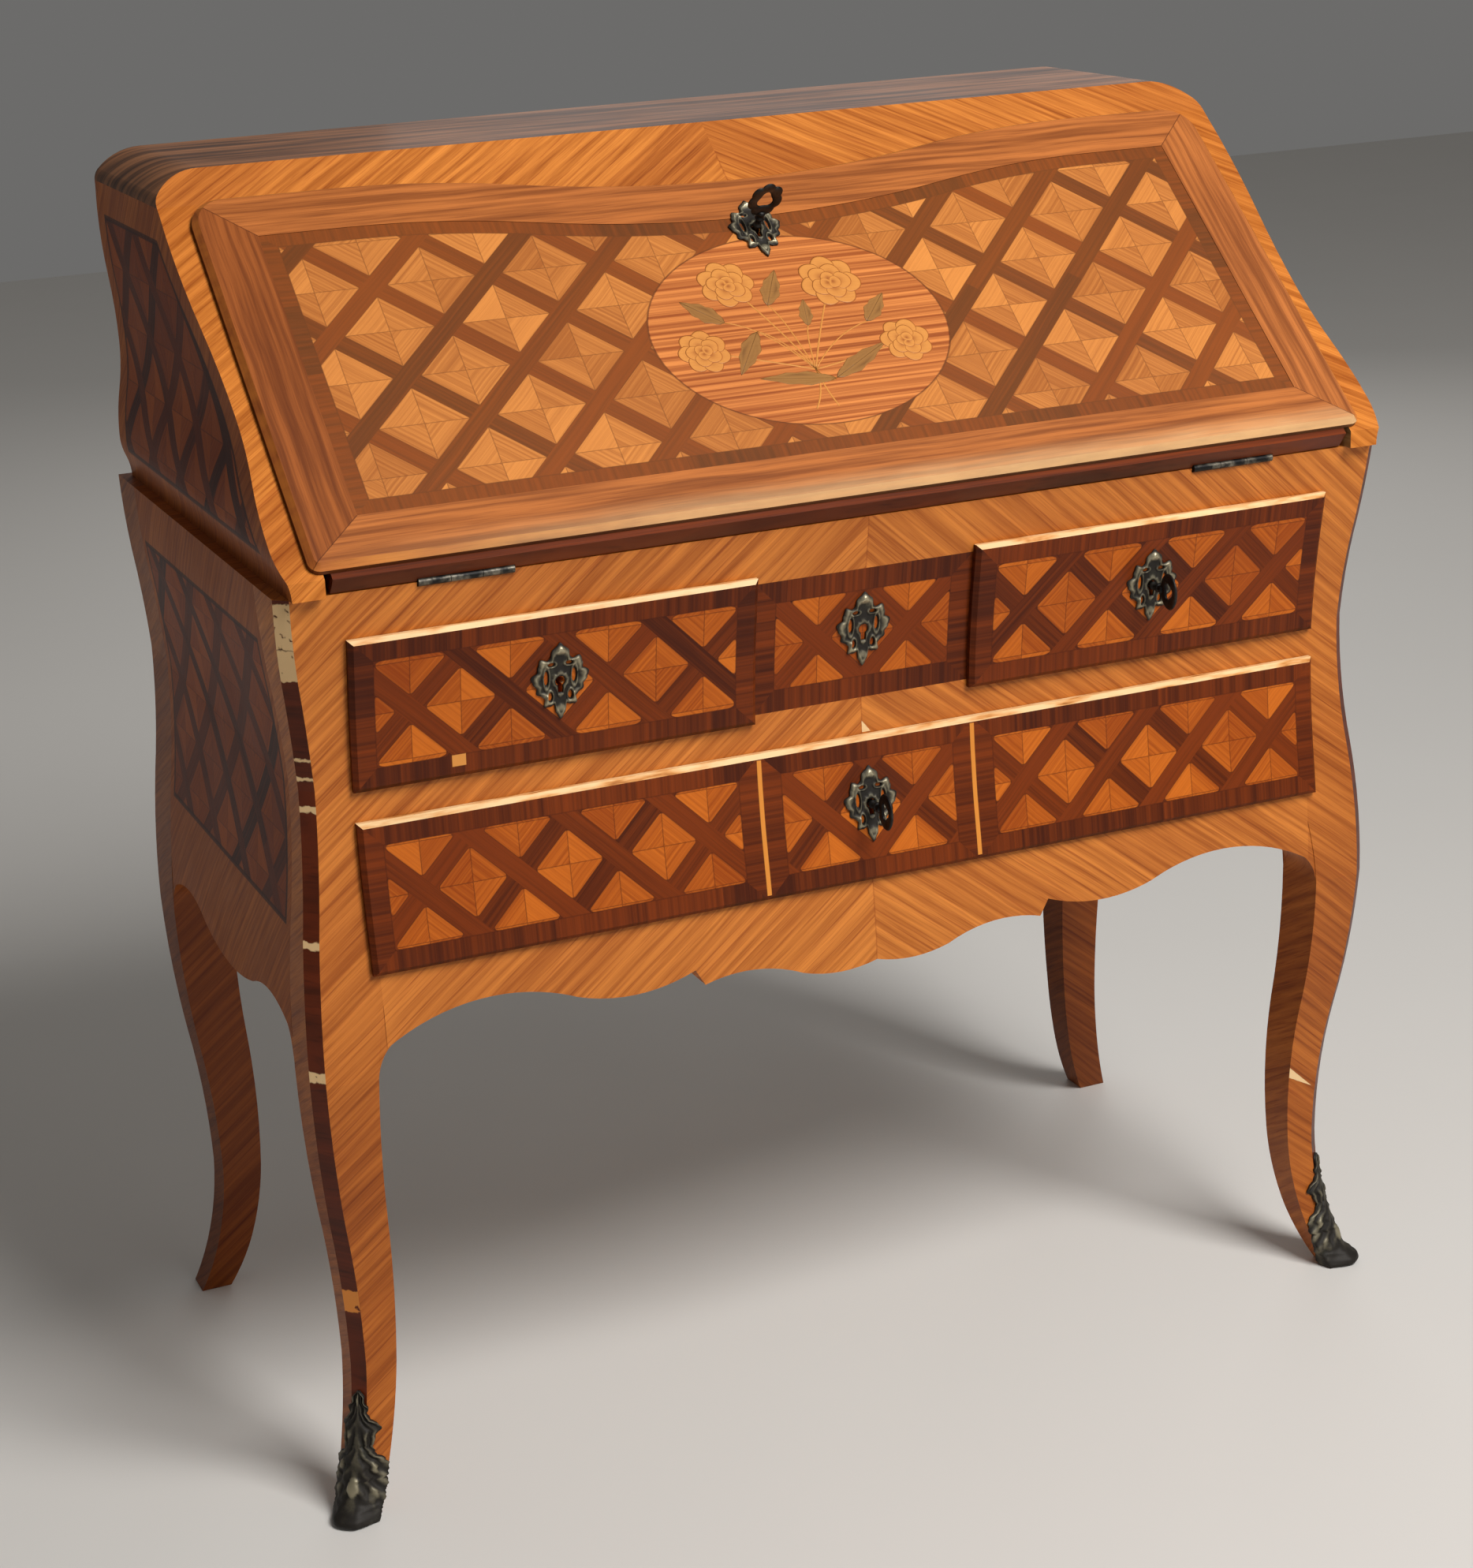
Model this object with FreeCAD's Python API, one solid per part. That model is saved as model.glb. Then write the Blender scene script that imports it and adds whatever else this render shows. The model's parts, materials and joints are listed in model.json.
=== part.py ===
import FreeCAD, Part
import math
import os
from FreeCAD import Vector as V

# Slope-front writing desk. Millimetres, +Z up, -Y is the writer's side.

# Main sizes: overall height, case width at the deck, depth
HEIGHT = 950.0
WIDTH = 860.0
DEPTH = 452.0
FRONT_Y = -214.0
UPPER_HIGH = 250.0
LOWER_HIGH = 350.0
TOP_BOARD = 22.5
SLOPE_DEG = 40.25
SHOULDER_IN = 37.0
HALF = WIDTH / 2
DECK_Z = HEIGHT - UPPER_HIGH
KNEE_Z = DECK_Z - LOWER_HIGH

# Outline of a leg: share of the knee's height, half width beyond the case's, set-back of the front
LEG_OUTLINE = [(0.0, 8.0, 17.0), (0.143, -7.0, 33.0), (0.329, -15.0, 38.0), (0.663, -6.5, 26.5)]
# Outline of the lower case: share of its height from the knee to the deck, then the same
CASE_OUTLINE = [(0.0, 3.0, 8.5), (0.3, -3.5, 16.0), (0.6, -11.5, 22.4), (0.8286, -4.0, 11.5), (1.0, 0.0, 0.0)]
OUTLINE = [(KNEE_Z * part, HALF + x, y) for part, x, y in LEG_OUTLINE]
OUTLINE += [(KNEE_Z + LOWER_HIGH * part, HALF + x, y) for part, x, y in CASE_OUTLINE]
CORNER_CANT = 9.0
POST_WIDE = 52.0
POST_IN_X = HALF - POST_WIDE
POST_IN_Y = 56.0
REAR_POST = 52.0
# Leg thickness at the lowest four of those heights, and at the knee a little less than its post
LEG_THICK = [25.0, 29.0, 32.0, 40.0]
KNEE_SLACK = 5.0
KNEE_SET_BACK = 9.0
LEG_WIDE = LEG_THICK + [POST_WIDE - KNEE_SLACK]
LEG_DEEP = LEG_THICK + [POST_IN_Y - KNEE_SET_BACK]
LEG_REAR = LEG_THICK + [REAR_POST - KNEE_SLACK]
REAR_SET_BACK = [-5.0, 6.0, 12.0, 3.0, 0.0]

# Lower case boards
SIDE_THICK = 28.0
SIDE_IN_X = HALF - SIDE_THICK
RAIL_BACK = 50.0
BOARD = 10.0
DECK = 15.0
BACK = 10.0
BACK_RECESS = 2.0
INSIDE = DEPTH - BACK - BACK_RECESS
TOP_RAIL = 39.2
UPPER_DRAWER = 99.6
MIDDLE_RAIL = 33.4
LOWER_DRAWER = 96.6
UPPER_DRAWER_Z = (DECK_Z - TOP_RAIL - UPPER_DRAWER, DECK_Z - TOP_RAIL)
LOWER_DRAWER_HEAD = UPPER_DRAWER_Z[0] - MIDDLE_RAIL
LOWER_DRAWER_Z = (LOWER_DRAWER_HEAD - LOWER_DRAWER, LOWER_DRAWER_HEAD)
APRON_HIGH = LOWER_DRAWER_Z[0] - KNEE_Z
LEG_SHOULDER_Z = KNEE_Z + 0.64 * APRON_HIGH
CENTRE_HALF = 91.5
DIVIDER = 10.0
GUIDE_RISE = 14.0
BACK_SKIRT = 40.0
# Shaped lower edges: shares of the apron's height above the knee, the front's at shares of its half span
APRON_INNER = [(0.0, 0.148), (0.063, 0.099), (0.159, 0.16), (0.265, 0.29), (0.365, 0.24)]
APRON_OUTER = [(0.384, 0.394), (0.492, 0.283), (0.624, 0.369), (0.799, 0.536), (1.0, 0.259)]
SIDE_EDGE = [0.296, 0.456, 0.357, 0.234]
SIDE_LOBE = 38.0
SIDE_SAG_HALF = 70.0

# Drawers
SLIDE_GAP = 0.4
LIP = 5.6
LIP_PROUD = 7.0
LIP_BEVEL = 3.2
FRONT_BACK = 46.0
DRAWER_SIDE = 9.0
DRAWER_BOTTOM = 6.0
BOTTOM_LIFT = 4.0
SIDE_DROP = 20.0
DRAWER_TAIL_GAP = 22.0
DRAWER_END = INSIDE - DRAWER_TAIL_GAP
DOVETAILS = 3

# Upper case, its widest and narrowest places: share of its side's height, half width beyond the case's
UPPER_OUTLINE = [(0.0, -9.0), (0.14, -2.5), (0.46, -10.0), (0.9, -4.0), (1.0, -4.5)]
SHOULDER_TURN = 12.0
UPPER_SIDE = 32.0
UPPER_IN_X = HALF - UPPER_SIDE
UPPER_STEP = 8.0
UPPER_DEPTH = DEPTH - UPPER_STEP
NOSE_OUT = 8.0
FASCIA = 18.0

# Fall
FALL_CORE = 15.0
FALL_CORE_GAP = 5.0
FALL_LIP = 8.0
FALL_LIP_IN = 23.0
FALL_LIP_HALF = HALF - FALL_LIP_IN
FALL_LIP_FOOT = 4.0
FALL_DIP = 29.0
WAVE_FROM_END = 107.0
WAVE_HALF = FALL_LIP_HALF - WAVE_FROM_END
WAVE_TURN = 165.0
FALL_OVERLAP = 9.0
FALL_CORNER = 26.0
FALL_FOOT_CORNER = 8.0
FALL_EDGE_BEVEL = 4.2
FALL_FRAME_SIDE = 42.0
FALL_FRAME_FOOT = 38.0
FALL_FRAME_HEAD = 41.0
FIELD_SUNK = 0.5
FOOT_GAP = 0.8
REST_GAP = 0.3
LEATHER = 1.5
LEATHER_MARGIN = 63.0
LEATHER_FOOT = 44.0
LEATHER_HEAD_GAP = 14.0

# Fall hinges
HINGE_IN = 131.0
HINGE_X = HALF - HINGE_IN
HINGE_LONG = 68.0
HINGE_LEAF = 1.8
HINGE_WIDE = 25.0
KNUCKLES = 3
KNUCKLE_R = 2.8
PIN_R = 1.3
PIN_PLAY = 0.05
KNUCKLE_GAP = 0.4

# Locks and keys
LOCK_HALF = 23.0
LOCK_DEPTH = 9.0
LOCK_DROP = 18.0
LOCK_PLATE = 2.0
BOLT_HALF = 7.0
BOLT_THICK = 5.0
BOLT_LOW = 13.0
BOLT_THROW = 8.0
BOLT_PLAY = 0.3
BIT_R = 11.5
KEY_R = 2.4
KEY_BARREL_R = 1.26
DRILL_PIN_R = 1.2
KEY_SHANK = 14.0
BOW_R = 10.5
BOW_HOLE_R = 6.4
BOW_THICK = 2.4
KEYHOLE_R = 2.9
FALL_KEY_DROP = 44.2
UPPER_KEY_DROP = 46.0
LOWER_KEY_DROP = 44.0
PLATE_HALF_X = 20.0
PLATE_HALF_Z = 28.0
PLATE = 2.2
FALL_PLATE_HALF_X = 19.0
FALL_PLATE_HALF_S = 27.0

# Bronze shoes on the front feet
SHOE_TOP = 92.0
SHOE_SIDE = 44.0
SHOE_GROW = [(0.0, 9.0), (12.0, 8.0), (30.0, 4.5), (60.0, 3.0), (SHOE_TOP, 2.4)]

# Fitted interior
GRADIN_FRONT = 258.0
SMALL_DRAWER_HIGH = 65.0
SHELF_Z = DECK_Z + SMALL_DRAWER_HIGH
SHELF = 8.0
PARTITION = 6.0
SMALL_DRAWER_WIDE = 232.0
PIGEONHOLES = 5
PARTITION_NOSE = 78.0
PARTITION_CLEAR = 45.0
PARTITION_SWEEP_LEAST = 10.0
SMALL_FRONT = 14.0
SMALL_SIDE = 6.0
SMALL_TAIL_GAP = 12.0
KNOB_R = 8.0
KNOB_OUT = 17.0

# Values that follow from the sizes above
HEIGHTS = [z for z, x, y in OUTLINE]
SLOPE = math.radians(SLOPE_DEG)
NOSE_RISE = (FALL_CORE - NOSE_OUT * math.sin(SLOPE)) / math.cos(SLOPE)
FOOT_S = NOSE_OUT * math.cos(SLOPE) - NOSE_RISE * math.sin(SLOPE)
TOP_UNDER = HEIGHT - TOP_BOARD
FALL_HEAD = (TOP_UNDER - DECK_Z - NOSE_RISE) / math.sin(SLOPE)
FALL_KEY_S = FALL_HEAD - FALL_DIP - FALL_OVERLAP - FALL_KEY_DROP
CORE_HALF = UPPER_IN_X - FALL_CORE_GAP
LEATHER_HALF = CORE_HALF - LEATHER_MARGIN
LEATHER_SPAN = (LEATHER_FOOT, FALL_KEY_S - LOCK_DROP - LEATHER_HEAD_GAP)
ON_SLOPE = FreeCAD.Placement(
    V(0, FRONT_Y - NOSE_OUT, DECK_Z + NOSE_RISE),
    FreeCAD.Rotation(V(1, 0, 0), SLOPE_DEG),
)
FAR = 600.0


def box(x, y, z):
    """A block between two limits on each axis, Y counted back from the front."""
    size = V(x[1] - x[0], y[1] - y[0], z[1] - z[0])
    return Part.makeBox(size.x, size.y, size.z, V(x[0], FRONT_Y + y[0], z[0]))


def plain_box(x, y, z):
    """A block in a local frame."""
    return Part.makeBox(x[1] - x[0], y[1] - y[0], z[1] - z[0], V(x[0], y[0], z[0]))


def curve(points, **ends):
    """A smooth curve through a few points."""
    line = Part.BSplineCurve()
    line.interpolate(points, **ends)
    return line


def arcs_through(points):
    """Arcs that each take three of a run of points."""
    return [Part.Arc(*points[k:k + 3]).toShape() for k in range(0, len(points) - 2, 2)]


def on_curve(line, z):
    """Point of a rising curve at one height."""
    low = line.FirstParameter
    high = line.LastParameter
    for _ in range(44):
        mid = (low + high) / 2
        if line.value(mid).z < z:
            low = mid
        else:
            high = mid
    return line.value((low + high) / 2)


def at_height(line, z):
    """Point of the case's outline at one height, on the arc between two of its given heights."""
    top = next((k for k, h in enumerate(HEIGHTS) if k and z <= h), len(HEIGHTS) - 1)
    low = HEIGHTS[top - 1]
    high = HEIGHTS[top]
    return on_curve(Part.Arc(*[on_curve(line, h) for h in (low, (low + high) / 2, high)]), z)


def arcs_between(line, z):
    """Part of the case's outline between two heights."""
    stops = [z[0]] + [h for h in HEIGHTS if z[0] + 0.5 < h < z[1] - 0.5] + [z[1]]
    run = [at_height(line, stops[0])]
    for a, b in zip(stops, stops[1:]):
        run += [at_height(line, (a + b) / 2), at_height(line, b)]
    return arcs_through(run)


def swelling(points, way):
    """Tangent arcs between the widest and narrowest places of an upright outline."""
    run = [points[0]]
    for a, b in zip(points, points[1:]):
        out = (b - a).dot(way)
        rise = b.z - a.z
        radius = (rise * rise + out * out) / (4 * abs(out))
        bulge = math.copysign(radius - math.sqrt(radius * radius - rise * rise / 16), out)
        step = way * bulge + V(0, 0, rise / 4)
        run += [a + step, (a + b) / 2, b - step, b]
    return arcs_through(run)


def outline_arcs(line, heights):
    """A rising curve drawn as one arc between each two heights."""
    run = [on_curve(line, heights[0])]
    for a, b in zip(heights, heights[1:]):
        run += [on_curve(line, (a + b) / 2), on_curve(line, b)]
    return arcs_through(run)


def closed_face(edges):
    """A face from edges that run end to end, closed with a straight line."""
    start = edges[0].valueAt(edges[0].FirstParameter)
    end = edges[-1].valueAt(edges[-1].LastParameter)
    if start.distanceToPoint(end) > 1e-6:
        edges = edges + [Part.makeLine(end, start)]
    return Part.Face(Part.Wire(Part.__sortEdges__(edges)))


def lines(points):
    """Straight edges through points."""
    return [Part.makeLine(a, b) for a, b in zip(points, points[1:])]


def spread(face, way):
    """A face pushed both ways along a direction."""
    face = face.copy()
    face.translate(way * -1)
    return face.extrude(way * 2)


def joined(shapes):
    """Overlapping or touching solids made into one."""
    whole = shapes[0].multiFuse(shapes[1:]) if len(shapes) > 1 else shapes[0]
    return whole.removeSplitter()


def group(shapes):
    """Separate solids kept in one node."""
    return Part.makeCompound([s for shape in shapes for s in shape.Solids])


def mirrored(shape):
    """The other hand of a piece."""
    return shape.mirror(V(0, 0, 0), V(1, 0, 0))


def on_slope(shape):
    """Lay a piece drawn as (across, up the slope, outward) on the slope."""
    placed = shape.copy()
    placed.Placement = ON_SLOPE.multiply(placed.Placement)
    return placed


def side_line():
    """Half width of the case and legs against height."""
    return curve([V(x, 0, z) for z, x, y in OUTLINE])


def front_line(forward=0.0):
    """Front of the case and legs against height."""
    return curve([V(0, FRONT_Y + y - forward, z) for z, x, y in OUTLINE])


def cant_line():
    """Canted front corner, in the upright plane that halves it."""
    half = math.sqrt(0.5)
    return curve([V((x - FRONT_Y - y - CORNER_CANT) * half, 0, z) for z, x, y in OUTLINE])


def across_corner(face):
    """Turn a face drawn in that plane to face the corner, and push it through."""
    face = face.copy()
    face.rotate(V(0, 0, 0), V(0, 0, 1), -45)
    return spread(face, V(FAR, FAR, 0))


def front_block(forward, back, x, z):
    """A block between the shaped front, drawn as arcs, and an upright plane behind it."""
    line = front_line(forward)
    rear = FRONT_Y + back
    rim = lines([at_height(line, z[1]), V(0, rear, z[1]), V(0, rear, z[0]), at_height(line, z[0])])
    face = Part.Face(Part.Wire(Part.__sortEdges__(arcs_between(line, z) + rim)))
    face.translate(V(x[0], 0, 0))
    return face.extrude(V(x[1] - x[0], 0, 0))


def front_layer(outer, inner, x, z):
    """A sheet that follows the shaped front between two offsets."""
    fore = front_line(outer)
    aft = front_line(inner)
    edges = arcs_between(fore, z) + arcs_between(aft, z)
    edges += [Part.makeLine(at_height(fore, h), at_height(aft, h)) for h in z]
    face = Part.Face(Part.Wire(Part.__sortEdges__(edges)))
    face.translate(V(x[0], 0, 0))
    return face.extrude(V(x[1] - x[0], 0, 0))


def leg_arcs(line):
    """Inner or rear line of a leg up to its shoulder, as arcs."""
    return outline_arcs(line, HEIGHTS[:len(LEG_WIDE)] + [LEG_SHOULDER_Z])


def leg_across():
    """Leg seen from the front, pushed through the depth."""
    low = [V(x - t, 0, z) for (z, x, y), t in zip(OUTLINE, LEG_WIDE)]
    shoulder = V(POST_IN_X, 0, LEG_SHOULDER_Z)
    inner = leg_arcs(curve(low + [shoulder], FinalTangent=V(0, 0, 1)))
    post = lines([shoulder, V(POST_IN_X, 0, DECK_Z), V(OUTLINE[-1][1], 0, DECK_Z)])
    foot = Part.makeLine(low[0], V(OUTLINE[0][1], 0, 0))
    edges = inner + post + outline_arcs(side_line(), HEIGHTS) + [foot]
    return spread(Part.Face(Part.Wire(Part.__sortEdges__(edges))), V(0, FAR, 0))


def leg_front_depth():
    """Front leg seen from the side, pushed through the width."""
    low = [V(0, FRONT_Y + y + t, z) for (z, x, y), t in zip(OUTLINE, LEG_DEEP)]
    shoulder = V(0, FRONT_Y + POST_IN_Y, LEG_SHOULDER_Z)
    inner = leg_arcs(curve(low + [shoulder], FinalTangent=V(0, 0, 1)))
    post = lines([shoulder, V(0, FRONT_Y + POST_IN_Y, DECK_Z), V(0, FRONT_Y, DECK_Z)])
    foot = Part.makeLine(low[0], V(0, FRONT_Y + OUTLINE[0][2], 0))
    edges = inner + post + outline_arcs(front_line(), HEIGHTS) + [foot]
    return spread(Part.Face(Part.Wire(Part.__sortEdges__(edges))), V(FAR, 0, 0))


def leg_rear_depth():
    """Rear leg seen from the side, pushed through the width."""
    rear = FRONT_Y + DEPTH
    back = [V(0, rear - b, z) for z, b in zip(HEIGHTS, REAR_SET_BACK)]
    front = [V(0, rear - b - t, z) for z, b, t in zip(HEIGHTS, REAR_SET_BACK, LEG_REAR)]
    up = V(0, 0, 1)
    shoulder = V(0, rear - REAR_POST, LEG_SHOULDER_Z)
    hip = V(0, rear, LEG_SHOULDER_Z)
    edges = leg_arcs(curve(back + [hip], FinalTangent=up))
    edges += lines([hip, V(0, rear, DECK_Z), V(0, rear - REAR_POST, DECK_Z), shoulder])
    edges += leg_arcs(curve(front + [shoulder], FinalTangent=up))
    edges.append(Part.makeLine(front[0], back[0]))
    return spread(Part.Face(Part.Wire(Part.__sortEdges__(edges))), V(FAR, 0, 0))


def cant_prism():
    """Everything inside the canted front corner."""
    line = cant_line()
    head = line.value(line.LastParameter)
    foot = line.value(line.FirstParameter)
    edges = outline_arcs(line, HEIGHTS) + lines([head, V(-FAR, 0, DECK_Z), V(-FAR, 0, 0), foot])
    return across_corner(closed_face(edges))


def front_leg():
    """Cabriole front leg and its post in one piece, canted on the outer corner."""
    half = box((0, FAR), (-FAR, FAR), (0, DECK_Z))
    return leg_across().common(half).common(leg_front_depth()).common(cant_prism())


def rear_leg():
    """Rear leg and post in one piece."""
    half = box((0, FAR), (-FAR, FAR), (0, DECK_Z))
    return leg_across().common(half).common(leg_rear_depth())


def shoe(leg):
    """Cast shoe round a front foot, its leaf running up the canted corner."""
    side = side_line()
    front = front_line()
    cant = cant_line()
    out = []
    fore = []
    corner = []
    for z, grow in SHOE_GROW:
        x = at_height(side, z).x
        y = at_height(front, z).y
        out.append(V(x + grow, 0, z))
        fore.append(V(0, y - grow, z))
        corner.append(V(at_height(cant, z).x + grow, 0, z))
    inside = V(POST_IN_X - SHOE_GROW[0][1], 0, 0)
    behind = V(0, FRONT_Y + POST_IN_Y + LEG_THICK[2], 0)
    up = V(0, 0, SHOE_TOP)
    one = closed_face(arcs_through(out) + lines([out[-1], inside + up, inside, out[0]]))
    two = closed_face(arcs_through(fore) + lines([fore[-1], behind + up, behind, fore[0]]))
    three = closed_face(arcs_through(corner) + lines([corner[-1], up, V(0, 0, 0), corner[0]]))
    block = spread(one, V(0, FAR, 0)).common(spread(two, V(FAR, 0, 0))).common(across_corner(three))
    inner = shoe_hollow()
    tip = corner[0].x + SHOE_GROW[0][1]
    ridge = corner[-1].x
    leaf = [V(ridge + 3, 0, SHOE_TOP), V(ridge - 5, 0, SHOE_TOP - 18), V(ridge - 14, 0, SHOE_SIDE + 12)]
    leaf += [V(ridge - 28, 0, SHOE_SIDE + 2), V(ridge - 70, 0, SHOE_SIDE - 4)]
    rim = [leaf[-1], V(leaf[-1].x, 0, 0), V(tip, 0, 0), V(tip, 0, SHOE_TOP), leaf[0]]
    under = closed_face(arcs_through(leaf) + lines(rim))
    shaped = block.common(across_corner(under)).cut(inner).cut(leg)
    return max(shaped.Solids, key=lambda s: s.Volume)


def shoe_hollow():
    """Room inside the shoe behind the leg's inner faces."""
    inner_x = curve([V(x - t - 2.4, 0, z) for (z, x, y), t in zip(OUTLINE[:4], LEG_THICK)])
    inner_y = curve([V(0, FRONT_Y + y + t + 2.4, z) for (z, x, y), t in zip(OUTLINE[:4], LEG_THICK)])
    wide = outline_arcs(inner_x, HEIGHTS[:4])
    deep = outline_arcs(inner_y, HEIGHTS[:4])
    top = HEIGHTS[3]
    ends_x = [inner_x.value(inner_x.LastParameter), V(0, 0, top), V(0, 0, 0), inner_x.value(0)]
    ends_y = [inner_y.value(inner_y.LastParameter), V(0, FAR, top), V(0, FAR, 0), inner_y.value(0)]
    left = spread(closed_face(wide + lines(ends_x)), V(0, FAR, 0))
    rear = spread(closed_face(deep + lines(ends_y)), V(FAR, 0, 0))
    return left.fuse(rear)


def side_panel():
    """Bowed side of the lower case, with a shaped lower edge."""
    line = side_line()
    low_z = KNEE_Z + APRON_HIGH * min(SIDE_EDGE) / 2
    foot = at_height(line, low_z)
    head = at_height(line, DECK_Z)
    edges = arcs_between(line, (low_z, DECK_Z))
    edges += lines([head, V(SIDE_IN_X, 0, DECK_Z), V(SIDE_IN_X, 0, low_z), foot])
    slab = spread(Part.Face(Part.Wire(Part.__sortEdges__(edges))), V(0, FAR, 0))
    near = POST_IN_Y
    far = DEPTH - REAR_POST
    mid = (near + far) / 2
    half = [near, near + SIDE_LOBE, mid - SIDE_SAG_HALF, mid]
    low = list(zip(half, SIDE_EDGE))
    low += [(near + far - y, rise) for y, rise in reversed(low[:-1])]
    points = [V(0, FRONT_Y + y, KNEE_Z + APRON_HIGH * rise) for y, rise in low]
    edges = arcs_through(points)
    edges += lines([points[-1], V(0, points[-1].y, DECK_Z), V(0, points[0].y, DECK_Z), points[0]])
    return slab.common(spread(Part.Face(Part.Wire(Part.__sortEdges__(edges))), V(FAR, 0, 0)))


def front_apron():
    """Rail under the lower drawer, cut to cusps and lobes."""
    top = LOWER_DRAWER_Z[0]
    edges = []
    for s in (1, -1):
        runs = [[V(s * POST_IN_X * part, 0, KNEE_Z + APRON_HIGH * rise) for part, rise in run]
                for run in (APRON_INNER, APRON_OUTER)]
        for run in runs:
            edges += arcs_through(run)
        end = runs[1][-1]
        edges += lines([runs[0][-1], runs[1][0]]) + lines([end, V(end.x, 0, top)])
    edges.append(Part.makeLine(V(-POST_IN_X, 0, top), V(POST_IN_X, 0, top)))
    face = Part.Face(Part.Wire(Part.__sortEdges__(edges)))
    block = front_block(0, RAIL_BACK, (-POST_IN_X, POST_IN_X), (KNEE_Z, top))
    return block.common(spread(face, V(0, FAR, 0)))


def front_piece(x, z):
    """A flush piece of the front between two posts or dividers."""
    return front_block(0, RAIL_BACK, x, z)


def notched_board(y, z):
    """A level board between the sides, cut round the four posts."""
    board = box((-SIDE_IN_X, SIDE_IN_X), y, z)
    for s in (-1, 1):
        x = sorted((s * POST_IN_X, s * FAR))
        board = board.cut(box(x, (-FAR, POST_IN_Y), z))
        board = board.cut(box(x, (DEPTH - REAR_POST, FAR), z))
    return board


def guides():
    """Strips beside the drawers that keep them straight."""
    strips = []
    for low in (UPPER_DRAWER_Z[0], LOWER_DRAWER_Z[0]):
        for s in (-1, 1):
            x = sorted((s * POST_IN_X, s * SIDE_IN_X))
            strips.append(box(x, (POST_IN_Y, DEPTH - REAR_POST), (low, low + GUIDE_RISE)))
    return group(strips)


def dividers():
    """Two upright boards behind the centre panel."""
    z = (UPPER_DRAWER_Z[0], DECK_Z - DECK)
    y = (RAIL_BACK, INSIDE)
    return group([box(sorted((s * CENTRE_HALF, s * (CENTRE_HALF - DIVIDER))), y, z) for s in (-1, 1)])


def ring_of(points, half_x, half_y, spin=0.5):
    """Even-sided closed outline about the origin."""
    turns = [2 * math.pi * (k + spin) / points + math.pi / 2 for k in range(points)]
    rim = [V(half_x * math.cos(t), half_y * math.sin(t), 0) for t in turns]
    return Part.Face(Part.makePolygon(rim + rim[:1]))


def rococo(half_x, half_y, leaves=8):
    """Leafy closed outline of a key plate: blunt lobes that meet in notches."""
    rim = []
    for k in range(3 * leaves):
        turn = 2 * math.pi * (k - 0.5) / (3 * leaves) + math.pi / 2
        swell = 0.80 if k % 3 == 2 else 1.0
        rim.append(V(half_x * swell * math.cos(turn), half_y * swell * math.sin(turn), 0))
    return Part.Face(Part.makePolygon(rim + rim[:1]))


def keyhole(low, high):
    """Eight-sided hole and slot for a key, in the lock's own frame."""
    half = KEYHOLE_R / math.cos(math.pi / 8)
    hole = ring_of(8, half, half).extrude(V(0, 0, high - low))
    hole.translate(V(0, 0, low))
    return hole.fuse(plain_box((-1.6, 1.6), (-BIT_R - 0.6, 0), (low, high)))


def lock_frame(x, z):
    """Frame of a drawer lock: X across, Y up, Z towards the writer."""
    return FreeCAD.Placement(V(x, FRONT_Y + FRONT_BACK, z), FreeCAD.Rotation(V(1, 0, 0), 90))


def placed(shape, frame):
    """Put a piece drawn in a lock's own frame in its place."""
    moved = shape.copy()
    moved.Placement = frame.multiply(moved.Placement)
    return moved


def lock_pocket(rise):
    """Room for the lock in the wood."""
    return plain_box((-LOCK_HALF, LOCK_HALF), (-LOCK_DROP, rise), (0, LOCK_DEPTH))


def bolt_room(rise, low, high):
    """Way for the bolt, with its play."""
    half = BOLT_HALF + BOLT_PLAY
    z = (LOCK_PLATE + 1.0, LOCK_PLATE + 1.0 + BOLT_THICK + 2 * BOLT_PLAY)
    return plain_box((-half, half), (low, high), z)


def lock_case(rise):
    """Lock plate and box with a drill pin, open towards the wood."""
    rim = 4.0
    body = lock_pocket(rise)
    hollow = plain_box(
        (-LOCK_HALF + rim, LOCK_HALF - rim), (-LOCK_DROP + rim, rise - 6), (LOCK_PLATE, LOCK_DEPTH)
    )
    body = body.cut(hollow).cut(bolt_room(rise, rise - 7, rise + 1))
    pin = Part.makeCylinder(DRILL_PIN_R, LOCK_DEPTH - LOCK_PLATE - 1, V(0, 0, LOCK_PLATE))
    return joined([body, pin])


def lock_bolt(rise):
    """Flat bolt, drawn back level with the lock's edge."""
    low = LOCK_PLATE + 1.0 + BOLT_PLAY
    return plain_box((-BOLT_HALF, BOLT_HALF), (BOLT_LOW, rise - 0.2), (low, low + BOLT_THICK))


def key(reach):
    """Key with a hollow end over the drill pin, a bit and a pierced bow."""
    low = LOCK_PLATE + 0.4
    end = reach + KEY_SHANK
    parts = [Part.makeCylinder(KEY_R, end + BOW_R * 0.3 - low, V(0, 0, low))]
    bit_low = LOCK_PLATE + 1.0 + BOLT_PLAY
    parts.append(plain_box((-1.0, 1.0), (-BIT_R, 0), (bit_low, bit_low + BOLT_THICK)))
    outer = ring_of(12, BOW_R * 1.25, BOW_R).extrude(V(0, 0, BOW_THICK))
    hole = ring_of(12, BOW_HOLE_R * 1.35, BOW_HOLE_R).extrude(V(0, 0, BOW_THICK))
    bow = outer.cut(hole)
    bow.translate(V(0, 0, -BOW_THICK / 2))
    turn = FreeCAD.Rotation(V(0, 1, 0), V(0, 0, 1), V(1, 0, 0))
    bow.Placement = FreeCAD.Placement(V(0, 0, end + BOW_R), turn).multiply(bow.Placement)
    barrel = Part.makeCylinder(KEY_BARREL_R, LOCK_DEPTH - low + 1, V(0, 0, low))
    return joined(parts + [bow]).cut(barrel)


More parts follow.
